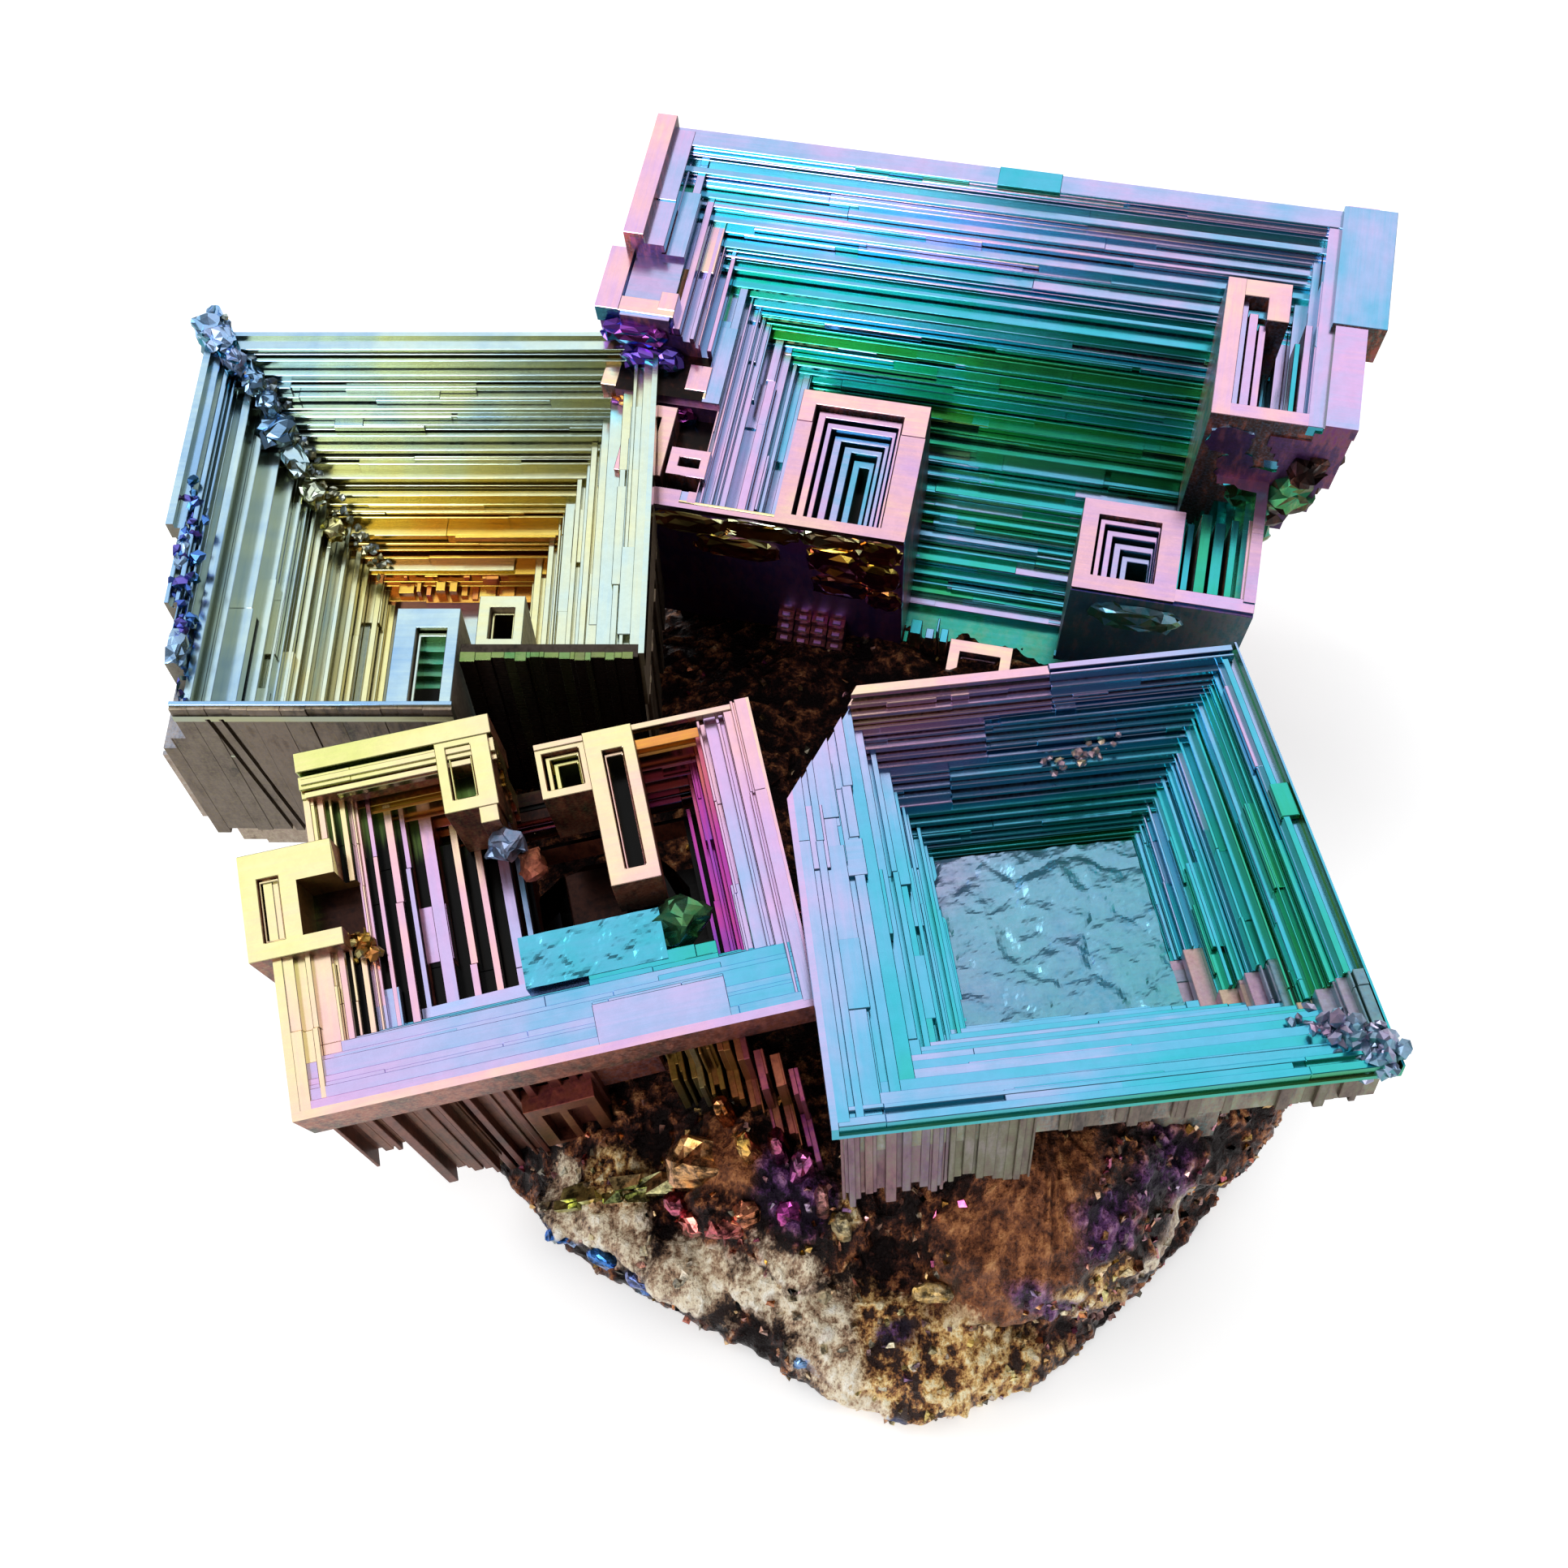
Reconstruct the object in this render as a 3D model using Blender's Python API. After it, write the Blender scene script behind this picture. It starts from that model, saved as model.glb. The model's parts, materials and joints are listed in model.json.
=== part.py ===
"""A bismuth hopper crystal: four stepped hoppers that grew together on one lumpy crust.

Every hopper is modelled in its own frame, where z = 0 is its rim and the well goes down, and is then
tilted into place. All sizes below are in millimetres, and MM turns them into Blender's metres.
A rectangle is (x0, x1, y0, y1), and a box is (x0, x1, y0, y1, z0, z1).
"""
import random
from math import atan2, cos, hypot, radians, sin, tau

import bmesh
import bpy
from mathutils import Matrix, noise

MM = 0.001

# Where the middle of each rim stands, and its tilt about X, Y and Z in degrees.
GOLD_AT, GOLD_TILT = (-20.1, 8.85, 23.3), (6.0, 0.0, 0.0)
VIOLET_AT, VIOLET_TILT = (12.4, 15.95, 28.3), (13.5, 0.0, -12.0)
ROSE_AT, ROSE_TILT = (-12.0, -15.05, 22.4), (15.0, -4.0, 12.0)
TEAL_AT, TEAL_TILT = (12.5, -14.15, 24.3), (-6.0, -2.0, 6.0)
APRON_AT, APRON_TILT = (-21.7, -24.05, 16.6), (5.5, -7.0, 12.0)

# The cut across the teal hopper's back left corner: a point of it in the hopper's frame, and its turn.
CHAMFER_AT, CHAMFER_TURN = (-9.5, 9.45, 0.0), -31.0

OVER = 3.0             # how far a cutter stands over the rim
FAR = 30.0             # a cutter's reach past the outside of a hopper

# The crust: its outline on the table from the front tip round, its middle, and rings of (z, share).
CRUST_OUTLINE = (
    (6.6, -33.95), (10.8, -32.9), (17.0, -28.9), (22.4, -23.5), (26.9, -16.0), (26.9, -4.0), (24.9, 9.0),
    (17.9, 21.0), (3.9, 24.0), (-14.1, 19.0), (-23.1, 11.0), (-24.1, -1.0), (-20.1, -13.0), (-14.1, -22.8),
    (-2.9, -29.2),
)
CRUST_MIDDLE = (2.9, -5.0)
CRUST_RINGS = ((0.0, 0.98), (1.2, 1.0), (3.5, 0.97), (6.0, 0.88), (8.0, 0.74), (9.5, 0.52), (10.0, 0.26))
CRUST_SIDES = 56
CRUST_LUMP = 1.3       # height of its small lumps
CRUST_GRAIN = 4.5      # size of its small lumps

# Big rough lumps that climb from the crust to the hoppers: middle, half sizes.
LUMPS = (
    ((12.0, -22.5, 7.0), (8.0, 7.5, 10.0)),
    ((19.0, -16.5, 8.5), (7.3, 7.8, 8.5)),
    ((1.0, -21.0, 6.5), (7.0, 7.0, 7.5)),
    ((-8.0, -14.0, 5.0), (8.5, 8.5, 5.5)),
    ((-4.0, 2.0, 4.0), (9.0, 7.0, 7.5)),
)
LUMP_DETAIL = 3
NOISE_SEED = 4
SUNK = 0.6             # no lump comes nearer to the table than this

# The columns under the rose hopper's front, in the apron's frame.
APRON_COLUMNS = (
    (0.2, 3.0, 0.5, 3.2, -8.5, -0.5),
    (2.7, 5.8, 0.1, 3.4, -13.0, -0.4),
    (5.5, 8.6, 0.4, 4.2, -15.5, -0.5),
    (8.4, 12.4, 0.9, 4.0, -14.0, -0.6),
    (12.2, 16.0, 2.0, 5.5, -14.5, -1.2),
)

BISMUTH_COLOUR = (0.36, 0.47, 0.55, 1.0)
BISMUTH_ROUGHNESS = 0.3


def collection(name):
    """A new collection in the scene."""
    made = bpy.data.collections.new(name)
    bpy.context.scene.collection.children.link(made)
    return made


def solid(name, bm, home, at=(0, 0, 0), tilt=(0, 0, 0)):
    """Turns a bmesh in millimetres into an object that stands at a place, with a tilt in degrees."""
    bmesh.ops.scale(bm, vec=(MM, MM, MM), verts=bm.verts)
    bmesh.ops.recalc_face_normals(bm, faces=bm.faces)
    mesh = bpy.data.meshes.new(name)
    bm.to_mesh(mesh)
    bm.free()
    made = bpy.data.objects.new(name, mesh)
    made.location = [value * MM for value in at]
    made.rotation_euler = [radians(value) for value in tilt]
    home.objects.link(made)
    return made


def fit(face, rect, z):
    """Moves the four corners of a level face onto a rectangle at a height."""
    middle = face.calc_center_median()
    for v in face.verts:
        v.co = (
            rect[0] if v.co.x < middle.x else rect[1],
            rect[2] if v.co.y < middle.y else rect[3],
            z,
        )


def terrace(levels, foot):
    """A block that steps in or out on its way down to its foot.

    Each level is (z, rectangle): the rectangle holds from that z down to the next level.
    """
    bm = bmesh.new()
    bmesh.ops.create_cube(bm, size=2.0)
    bm.faces.ensure_lookup_table()
    top = max(bm.faces, key=lambda face: face.normal.z)
    bottom = min(bm.faces, key=lambda face: face.normal.z)
    ends = [z for z, _ in levels[1:]] + [foot]
    fit(top, levels[0][1], levels[0][0])
    fit(bottom, levels[0][1], ends[0])
    for (z, rect), end in zip(levels[1:], ends[1:]):
        for height in (z, end):
            bottom = bmesh.ops.extrude_discrete_faces(bm, faces=[bottom])["faces"][0]
            fit(bottom, rect, height)
    return bm


def block(x0, x1, y0, y1, z0, z1):
    """A plain box."""
    return terrace([(z1, (x0, x1, y0, y1))], z0)


def inset(rect, left, right, front, back):
    """A rectangle drawn in by those amounts."""
    x0, x1, y0, y1 = rect
    return (x0 + left, x1 - right, y0 + front, y1 - back)


def well(mouth, floor, depth, count, seed=1, top=0.0):
    """The stepped hollow of a hopper: ledges of uneven width, from the mouth down to the floor."""
    rng = random.Random(seed)
    parts = [rng.uniform(0.7, 1.3) for _ in range(count)]
    levels = [(top + OVER, mouth)]
    passed = 0.0
    for part in parts:
        z = top - depth * (passed + 0.5 * part) / sum(parts)
        passed += part
        share = passed / sum(parts)
        levels.append((z, tuple(a + (b - a) * share for a, b in zip(mouth, floor))))
    return terrace(levels, top - depth)


def outside(rim, steps, foot):
    """The outside of a hopper: its rim, and steps of (z, four insets) under it down to its foot."""
    return terrace([(0.0, rim)] + [(z, inset(rim, *amounts)) for z, *amounts in steps], foot)


def boolean(target, operation, group):
    """Adds or cuts all the solids of a collection."""
    modifier = target.modifiers.new(operation.title(), "BOOLEAN")
    modifier.operation = operation
    modifier.operand_type = "COLLECTION"
    modifier.collection = group


def hidden(tool):
    """Shows a solid that is only there to be joined or to cut as wires."""
    tool.hide_render = True
    tool.display_type = "WIRE"
    return tool


def hopper(name, home, pose, shell, hollow, added, carved):
    """A hopper: its shell less its hollow, with the added blocks joined and then the carved ones cut."""
    body = hidden(solid(name, shell, home, *pose))
    for label, operation, tools in (
        ("hollow", "DIFFERENCE", [hollow]),
        ("added", "UNION", added),
        ("carved", "DIFFERENCE", carved),
    ):
        group = collection(f"{name} {label}")
        for index, bm in enumerate(tools):
            hidden(solid(f"{name}_{label}_{index}", bm, group, *pose))
        boolean(body, operation, group)


def gold_hopper(home):
    """The hopper at the back left: a tall plain front, and two small square spirals in its well."""
    rim = (-13.3, 12.8, -12.7, 12.9)
    steps = (
        (-1.2, 0.2, 0.1, 0.1, 0.2),
        (-5.0, 1.2, 0.3, 0.2, 0.8),
        (-13.0, 1.6, 0.9, 0.6, 2.5),
        (-15.5, 2.4, 2.5, 1.4, 4.5),
    )
    shell = outside(rim, steps, -17.5)
    hollow = well((-12.4, 12.0, -12.2, 12.1), (-3.5, 4.2, -12.0, 1.7), 11.5, 14)
    added = [
        block(2.4, 12.5, -9.0, -8.4, -14.0, -0.1),
        block(-0.2, 3.1, -12.4, -6.4, -13.0, -0.2),
        block(4.0, 6.4, -8.7, -5.5, -13.0, -0.3),
        block(-13.9, -12.2, 12.3, 14.2, -3.0, 0.7),
        block(-12.5, -10.9, 12.4, 13.5, -2.5, 0.4),
        block(-9.5, -7.6, 5.0, 7.6, -6.0, -1.3),
    ]
    carved = [
        block(3.2, FAR, -FAR, -9.0, -FAR, OVER),
        block(-FAR, -12.6, -FAR, -1.0, -5.0, OVER),
        block(-FAR, -11.9, -FAR, -5.9, -4.0, OVER),
        block(-FAR, -11.1, -FAR, -9.7, -3.0, OVER),
        well((0.8, 2.5, -12.0, -7.6), (1.3, 2.2, -11.8, -9.5), 3.5, 3, top=-0.2),
        well((4.7, 5.9, -8.2, -6.2), (5.0, 5.6, -8.0, -6.8), 1.6, 2, top=-0.3),
    ]
    hopper("gold_hopper", home, (GOLD_AT, GOLD_TILT), shell, hollow, added, carved)


def violet_hopper(home):
    """The broad hopper at the back right, open at its front between two corner spirals."""
    rim = (-22.5, 18.4, -9.9, 12.5)
    steps = (
        (-1.0, 0.2, 0.1, 0.1, 0.2),
        (-7.0, 0.8, 0.4, 0.2, 1.6),
        (-11.0, 2.2, 1.0, 0.3, 3.6),
        (-15.0, 4.0, 2.6, 0.4, 6.0),
    )
    shell = outside(rim, steps, -20.0)
    hollow = well((-21.2, 16.2, -9.5, 12.0), (-4.5, 9.5, -9.3, -4.4), 17.0, 17, seed=2)
    added = [
        block(-22.9, -20.9, 4.0, 12.7, -3.5, 0.25),
        block(-23.7, -19.2, -0.2, 4.2, -6.0, -1.5),
        block(-23.0, -17.3, -3.1, 0.4, -9.0, -4.5),
        block(-20.9, -18.2, -9.6, -3.0, -12.0, -5.1),
        block(-18.3, -15.8, -8.2, -6.4, -12.0, -5.3),
        block(-11.6, -4.2, -9.8, -1.1, -18.0, -4.9),
        block(10.8, 18.3, -2.0, 7.0, -11.5, -0.4),
        block(16.5, 19.4, 4.4, 12.4, -2.8, 0.1),
        block(5.3, 10.6, -10.3, -4.8, -15.0, -5.9),
        block(10.4, 15.1, -10.1, -4.0, -14.0, -6.6),
        block(-0.9, 2.6, -9.6, -6.6, -19.5, -16.4),
        block(-9.6, -3.4, -12.6, -9.0, -19.5, -14.2),
    ]
    carved = [
        block(-FAR, -15.0, -FAR, 3.9, -1.5, OVER),
        block(-FAR, -17.0, -FAR, -0.3, -4.5, OVER),
        block(-FAR, -4.1, -FAR, -3.2, -5.0, OVER),
        block(-FAR, -20.7, -FAR, -3.2, -FAR, OVER),
        block(-FAR, -19.4, -FAR, -9.0, -FAR, OVER),
        block(4.5, FAR, -FAR, -2.1, -6.0, OVER),
        block(15.1, FAR, -FAR, -2.1, -FAR, OVER),
        block(17.7, FAR, -FAR, FAR, -FAR, -5.8),
        block(16.7, FAR, -FAR, FAR, -FAR, -8.4),
        block(15.8, FAR, -FAR, FAR, -FAR, -10.6),
        block(-4.1, 5.3, -FAR, -9.0, -14.5, OVER),
        well((-10.5, -5.9, -9.5, -2.4), (-8.6, -7.0, -9.3, -5.2), 5.0, 4, top=-4.9),
        well((12.0, 14.6, -1.2, 6.0), (13.2, 14.2, -1.0, 3.6), 4.0, 3, top=-0.4),
        well((6.2, 9.8, -9.4, -5.6), (8.2, 9.6, -9.2, -7.8), 3.5, 3, top=-5.9),
        well((-22.8, -20.6, 1.0, 3.4), (-22.4, -21.0, 1.2, 3.0), 1.5, 2, top=-1.5),
        well((-20.2, -18.9, -8.8, -6.0), (-19.9, -19.2, -8.6, -6.6), 1.2, 2, top=-5.1),
        well((0.0, 1.9, -9.3, -7.4), (0.5, 1.5, -9.2, -8.2), 1.8, 2, top=-16.4),
    ]
    hopper("violet_hopper", home, (VIOLET_AT, VIOLET_TILT), shell, hollow, added, carved)


def rose_hopper(home):
    """The hopper at the front left: a broken back rim with a hook and a bar, and broad front ledges."""
    rim = (-11.9, 12.1, -7.9, 8.4)
    steps = (
        (-3.6, 0.9, 0.9, 0.9, 0.9),
        (-7.0, 2.0, 1.6, 1.4, 1.8),
        (-9.0, 3.2, 2.6, 2.0, 3.0),
        (-12.0, 4.8, 4.0, 3.0, 4.6),
    )
    shell = outside(rim, steps, -16.0)
    hollow = well((-11.0, 11.4, -7.4, 7.9), (-1.0, 8.2, -2.8, 5.5), 6.0, 9, seed=3)
    added = [
        block(-9.7, -0.3, 8.2, 9.5, -5.0, 0.2),
        block(-3.1, -0.5, 4.8, 9.4, -6.0, 0.1),
        block(3.9, 6.3, -0.4, 7.4, -8.0, 0.1),
        block(-12.9, -8.5, -0.4, 4.8, -6.0, 0.3),
        block(1.4, 4.1, 4.7, 7.5, -6.5, -0.5),
    ]
    carved = [
        block(-0.3, 1.5, 4.0, FAR, -6.5, OVER),
        block(1.0, 3.9, -1.3, 4.6, -11.0, OVER),
        block(1.4, FAR, 7.5, FAR, -FAR, OVER),
        block(-FAR, -9.7, 4.8, FAR, -FAR, OVER),
        block(-10.3, -7.9, 0.4, 3.1, -2.5, OVER),
        well((-2.6, -1.6, 5.3, 7.9), (-2.4, -1.8, 5.5, 7.6), 2.0, 2),
        well((-12.2, -11.0, 0.3, 3.6), (-12.0, -11.2, 0.5, 3.2), 1.5, 2, top=0.3),
        well((4.8, 5.7, 0.2, 3.4), (5.0, 5.5, 0.4, 3.0), 1.2, 2),
    ]
    hopper("rose_hopper", home, (ROSE_AT, ROSE_TILT), shell, hollow, added, carved)


def rose_apron(home):
    """The row of columns under the front rim of the rose hopper, the longest near its right end."""
    for index, limits in enumerate(APRON_COLUMNS):
        hidden(solid(f"rose_column_{index}", block(*limits), home, APRON_AT, APRON_TILT))


def teal_hopper(home):
    """The square hopper at the front right, even on all four sides, with one corner cut across."""
    rim = (-12.0, 11.7, -12.5, 12.5)
    steps = (
        (-0.8, 0.5, 0.5, 0.5, 0.5),
        (-3.0, 1.2, 1.8, 1.6, 1.8),
        (-5.0, 2.6, 3.2, 3.0, 3.2),
        (-7.5, 4.4, 4.8, 4.6, 4.8),
    )
    shell = outside(rim, steps, -13.0)
    hollow = well((-11.2, 11.1, -12.0, 12.0), (-4.0, 4.7, -3.3, 5.0), 8.0, 15, seed=4)
    added = [block(-11.6, -3.6, -12.1, -6.0, -7.5, -0.6)]
    chamfer = block(-FAR, 0.0, -FAR, FAR, -FAR, OVER)
    place = Matrix.Translation(CHAMFER_AT) @ Matrix.Rotation(radians(CHAMFER_TURN), 4, "Z")
    bmesh.ops.transform(chamfer, matrix=place, verts=chamfer.verts)
    hopper("teal_hopper", home, (TEAL_AT, TEAL_TILT), shell, hollow, added, [chamfer])


def reach(angle):
    """How far the crust's outline is from its middle in that direction."""
    middle_x, middle_y = CRUST_MIDDLE
    arms = [(x - middle_x, y - middle_y) for x, y in CRUST_OUTLINE]
    corners = sorted((atan2(y, x) % tau, hypot(x, y)) for x, y in arms)
    corners = [(corners[-1][0] - tau, corners[-1][1])] + corners + [(corners[0][0] + tau, corners[0][1])]
    for (a, near), (b, far) in zip(corners, corners[1:]):
        if a <= angle <= b:
            return near + (far - near) * (angle - a) / (b - a)


def crust():
    """The lumpy mass that carries the hoppers, flat underneath."""
    bm = bmesh.new()
    bmesh.ops.create_cone(bm, cap_ends=True, segments=CRUST_SIDES, radius1=1, radius2=1, depth=1)
    bottom = min(bm.faces, key=lambda face: face.normal.z)
    top = max(bm.faces, key=lambda face: face.normal.z)
    rings = [list(bottom.verts), list(top.verts)]
    while len(rings) < len(CRUST_RINGS):
        top = bmesh.ops.extrude_discrete_faces(bm, faces=[top])["faces"][0]
        rings.append(list(top.verts))
    for verts, (z, share) in zip(rings, CRUST_RINGS):
        for v in verts:
            angle = atan2(v.co.y, v.co.x) % tau
            far = reach(angle) * share
            v.co = (CRUST_MIDDLE[0] + far * cos(angle), CRUST_MIDDLE[1] + far * sin(angle), z)
            if z > 0:
                v.co += CRUST_LUMP * noise.noise_vector(v.co / CRUST_GRAIN)
    bmesh.ops.poke(bm, faces=[top])
    bmesh.ops.triangulate(bm, faces=[face for face in bm.faces if len(face.verts) == 4])
    return bm


def lump(middle, half):
    """A rough lump, cut off flat where it would go under the table."""
    bm = bmesh.new()
    bmesh.ops.create_icosphere(bm, subdivisions=LUMP_DETAIL, radius=1.0)
    for v in bm.verts:
        v.co = [centre + size * unit for centre, size, unit in zip(middle, half, v.co)]
        v.co += CRUST_LUMP * noise.noise_vector(v.co / CRUST_GRAIN)
        v.co.z = max(v.co.z, SUNK)
    return bm


def bismuth():
    """The material of the whole piece: metal under a thin coloured oxide."""
    material = bpy.data.materials.new("bismuth")
    material.use_nodes = True
    surface = material.node_tree.nodes["Principled BSDF"]
    surface.inputs["Base Color"].default_value = BISMUTH_COLOUR
    surface.inputs["Metallic"].default_value = 1.0
    surface.inputs["Roughness"].default_value = BISMUTH_ROUGHNESS
    return material


def main():
    for old in list(bpy.data.objects):
        bpy.data.objects.remove(old)
    noise.seed_set(NOISE_SEED)
    parts = collection("Bismuth hopper crystal")
    hoppers = collection("Hoppers")
    for make in (gold_hopper, violet_hopper, rose_hopper, rose_apron, teal_hopper):
        make(hoppers)
    for index, (middle, half) in enumerate(LUMPS):
        hidden(solid(f"lump_{index}", lump(middle, half), hoppers))
    crystal = solid("bismuth_crystal", crust(), parts)
    crystal.data.materials.append(bismuth())
    boolean(crystal, "UNION", hoppers)


main()
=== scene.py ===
"""The bismuth hopper crystal, dressed: fine ledges, square spirals, a rough crust and its oxide colours.

Four hoppers are grown out of bevelled bars. Each is modelled in its own frame in millimetres, where
z = 0 is its rim, and is then tilted into place on the crust, just as the solids of the frame are.
Every bar carries two numbers for the material: "film", the thickness of its oxide, which picks an
interference colour, and "tarnish", how far that colour is lost under a dull brown coat.
"""
import json
from math import atan2, cos, hypot, radians, sin, tau
from random import Random

import bmesh
import bpy
from mathutils import Euler, Matrix, Vector, noise

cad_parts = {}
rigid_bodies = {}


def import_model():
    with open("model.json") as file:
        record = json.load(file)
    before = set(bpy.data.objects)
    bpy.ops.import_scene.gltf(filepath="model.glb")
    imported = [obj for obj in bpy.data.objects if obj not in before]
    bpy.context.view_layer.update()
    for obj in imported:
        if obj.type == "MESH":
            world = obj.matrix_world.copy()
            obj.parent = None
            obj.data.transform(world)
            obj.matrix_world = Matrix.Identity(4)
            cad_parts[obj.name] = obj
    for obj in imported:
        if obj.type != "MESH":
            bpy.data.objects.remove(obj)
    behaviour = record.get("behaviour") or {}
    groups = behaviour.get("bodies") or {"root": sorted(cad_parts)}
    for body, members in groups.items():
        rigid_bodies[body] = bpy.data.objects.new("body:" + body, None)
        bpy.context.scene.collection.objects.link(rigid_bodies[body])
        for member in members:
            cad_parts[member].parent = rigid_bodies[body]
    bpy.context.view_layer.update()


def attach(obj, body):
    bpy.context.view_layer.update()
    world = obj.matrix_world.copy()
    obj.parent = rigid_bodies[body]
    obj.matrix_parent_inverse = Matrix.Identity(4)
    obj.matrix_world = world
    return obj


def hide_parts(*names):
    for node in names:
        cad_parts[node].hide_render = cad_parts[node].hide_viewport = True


MM = 0.001
BLACK_AND_SHADE = 1.47          # the film number that paints black: the colour of some dark rocks and crumbs, and painted shade on the floors of deep grooves, pits, cuts and spirals
NODE = "bismuth_crystal"
BODY = "root"

BEVEL = 0.03          # the edges of all bars
SKIN = 0.12           # how far ledges stay inside the outer faces
OVER = 3.0            # how far a cutter stands over a rim
FAR = 30.0            # a cutter's reach past the outside of a hopper
MARGIN = 0.3          # how far ledges end before the ends of a rim
TALL = 1.5            # upright faces over this height lose their colour
UPRIGHT = 0.3         # an upright face's normal rises or falls less than this
UNDERSIDE = -0.5      # an underside's normal points lower than this
DEEP_GROOVE = 1.0     # grooves that can be deeper than this get floors painted black as shade
BACKING = 0.5         # how far the hollow of a shell stays behind its ledges
SPIRAL_GAP = 0.32     # the gaps in a spiral, over a floor painted black as shade, as a share of its pitch
FILM_JITTER = 0.05    # how far the films of rubble differ
ROUGH_GRID = 0.14     # the face size of crumpled floors

LEFT, RIGHT, FRONT, BACK = "left", "right", "front", "back"
SIDES = {LEFT: (0, -1), RIGHT: (0, 1), FRONT: (1, -1), BACK: (1, 1)}   # axis across the wall, way out

GOLD_AT, GOLD_TILT = (-20.1, 8.85, 23.3), (6.0, 0.0, 0.0)
VIOLET_AT, VIOLET_TILT = (12.4, 15.95, 28.3), (13.5, 0.0, -12.0)
ROSE_AT, ROSE_TILT = (-12.0, -15.05, 22.4), (15.0, -4.0, 12.0)
TEAL_AT, TEAL_TILT = (12.5, -14.15, 24.3), (-6.0, -2.0, 6.0)
APRON_AT, APRON_TILT = (-21.7, -24.05, 16.6), (5.5, -7.0, 12.0)
CHAMFER_AT, CHAMFER_TURN = (-9.5, 9.45, 0.0), -31.0

# Interference colours of the oxide, by film thickness: (film, red, green, blue).
FILM_COLOURS = (
    (0.00, 0.26, 0.46, 0.72),
    (0.04, 0.56, 0.74, 0.74),
    (0.08, 0.72, 0.78, 0.56),
    (0.12, 0.84, 0.80, 0.34),
    (0.17, 0.86, 0.62, 0.10),
    (0.22, 0.80, 0.36, 0.08),
    (0.28, 0.62, 0.16, 0.16),
    (0.34, 0.46, 0.06, 0.34),
    (0.40, 0.20, 0.08, 0.52),
    (0.47, 0.05, 0.16, 0.62),
    (0.55, 0.08, 0.40, 0.75),
    (0.63, 0.10, 0.62, 0.62),
    (0.70, 0.25, 0.70, 0.35),
    (0.77, 0.70, 0.76, 0.24),
    (0.83, 0.92, 0.82, 0.42),
    (0.87, 0.94, 0.70, 0.50),
    (0.91, 0.88, 0.52, 0.58),
    (0.96, 0.68, 0.44, 0.74),
    (1.01, 0.46, 0.48, 0.78),
    (1.07, 0.15, 0.47, 0.72),
    (1.13, 0.06, 0.48, 0.62),
    (1.20, 0.04, 0.48, 0.38),
    (1.28, 0.04, 0.36, 0.12),
    (1.36, 0.20, 0.34, 0.08),
    (1.42, 0.01, 0.01, 0.01),
)
FILM_SPAN = 1.5       # the film thickness at the right end of the colour ramp


def collection(name):
    """A new collection in the scene."""
    made = bpy.data.collections.new(name)
    bpy.context.scene.collection.children.link(made)
    return made


def as_mesh(bm, name):
    """A mesh of what has been modelled, which is then let go."""
    mesh = bpy.data.meshes.new(name)
    bm.to_mesh(mesh)
    bm.free()
    return mesh


def turned(degrees):
    """A rotation about the three axes."""
    return Euler([radians(value) for value in degrees]).to_matrix()


def fit(face, rect, z):
    """Moves the four corners of a level face onto a rectangle at a height."""
    middle = face.calc_center_median()
    for v in face.verts:
        v.co = (
            rect[0] if v.co.x < middle.x else rect[1],
            rect[2] if v.co.y < middle.y else rect[3],
            z,
        )


def terrace(levels, foot):
    """A block that steps in or out on its way down to its foot, from (z, rectangle) levels."""
    bm = bmesh.new()
    bmesh.ops.create_cube(bm, size=2.0)
    bm.faces.ensure_lookup_table()
    top = max(bm.faces, key=lambda face: face.normal.z)
    bottom = min(bm.faces, key=lambda face: face.normal.z)
    ends = [z for z, _ in levels[1:]] + [foot]
    fit(top, levels[0][1], levels[0][0])
    fit(bottom, levels[0][1], ends[0])
    for (z, rect), end in zip(levels[1:], ends[1:]):
        for height in (z, end):
            bottom = bmesh.ops.extrude_discrete_faces(bm, faces=[bottom])["faces"][0]
            fit(bottom, rect, height)
    return bm


def block(x0, x1, y0, y1, z0, z1):
    """A plain box."""
    return terrace([(z1, (x0, x1, y0, y1))], z0)


def inset(rect, left, right, front, back):
    """A rectangle drawn in by those amounts."""
    x0, x1, y0, y1 = rect
    return (x0 + left, x1 - right, y0 + front, y1 - back)


def between(a, b, share):
    """The value that far on the way from a to b."""
    return a + (b - a) * share


def uneven(count, rng, spread):
    """Shares from 0 to 1 of an uneven division, one more than the count."""
    parts = [rng.uniform(1.0 - spread, 1.0 + spread) for _ in range(count)]
    passed = [0.0]
    for part in parts:
        passed.append(passed[-1] + part / sum(parts))
    return passed


def squared(value):
    """A coordinate on a unit ball, pushed out towards a cube."""
    return abs(value) ** 0.7 * (1.0 if value > 0.0 else -1.0)


def lumpy(bm, middle, half, turn, lump, pitch, detail=3):
    """Adds a rounded rock. lump is how far noise pushes it in and out, and pitch how fine that noise is."""
    spin = turned(turn)
    size = min(half)
    for v in bmesh.ops.create_icosphere(bm, subdivisions=detail, radius=1.0)["verts"]:
        v.co = Vector(middle) + spin @ Vector([squared(c) * s for c, s in zip(v.co, half)])
        v.co += lump * size * noise.noise_vector(v.co / (pitch * size))


def stretches(span, rng):
    """A span in one, two or three pieces."""
    cuts = sorted(rng.uniform(*span) for _ in range(rng.choice((0, 0, 1, 1, 2))))
    edges = [span[0]] + cuts + [span[1]]
    return [(start, end + 0.01) for start, end in zip(edges, edges[1:])]


def along_profile(points, share):
    """The point that far along a line of (edge, depth) points."""
    lengths = [hypot(b[0] - a[0], b[1] - a[1]) for a, b in zip(points, points[1:])]
    left = share * sum(lengths)
    for (a, b), length in zip(zip(points, points[1:]), lengths):
        if left <= length:
            return [between(u, v, left / length) for u, v in zip(a, b)]
        left -= length
    return points[-1]


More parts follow.
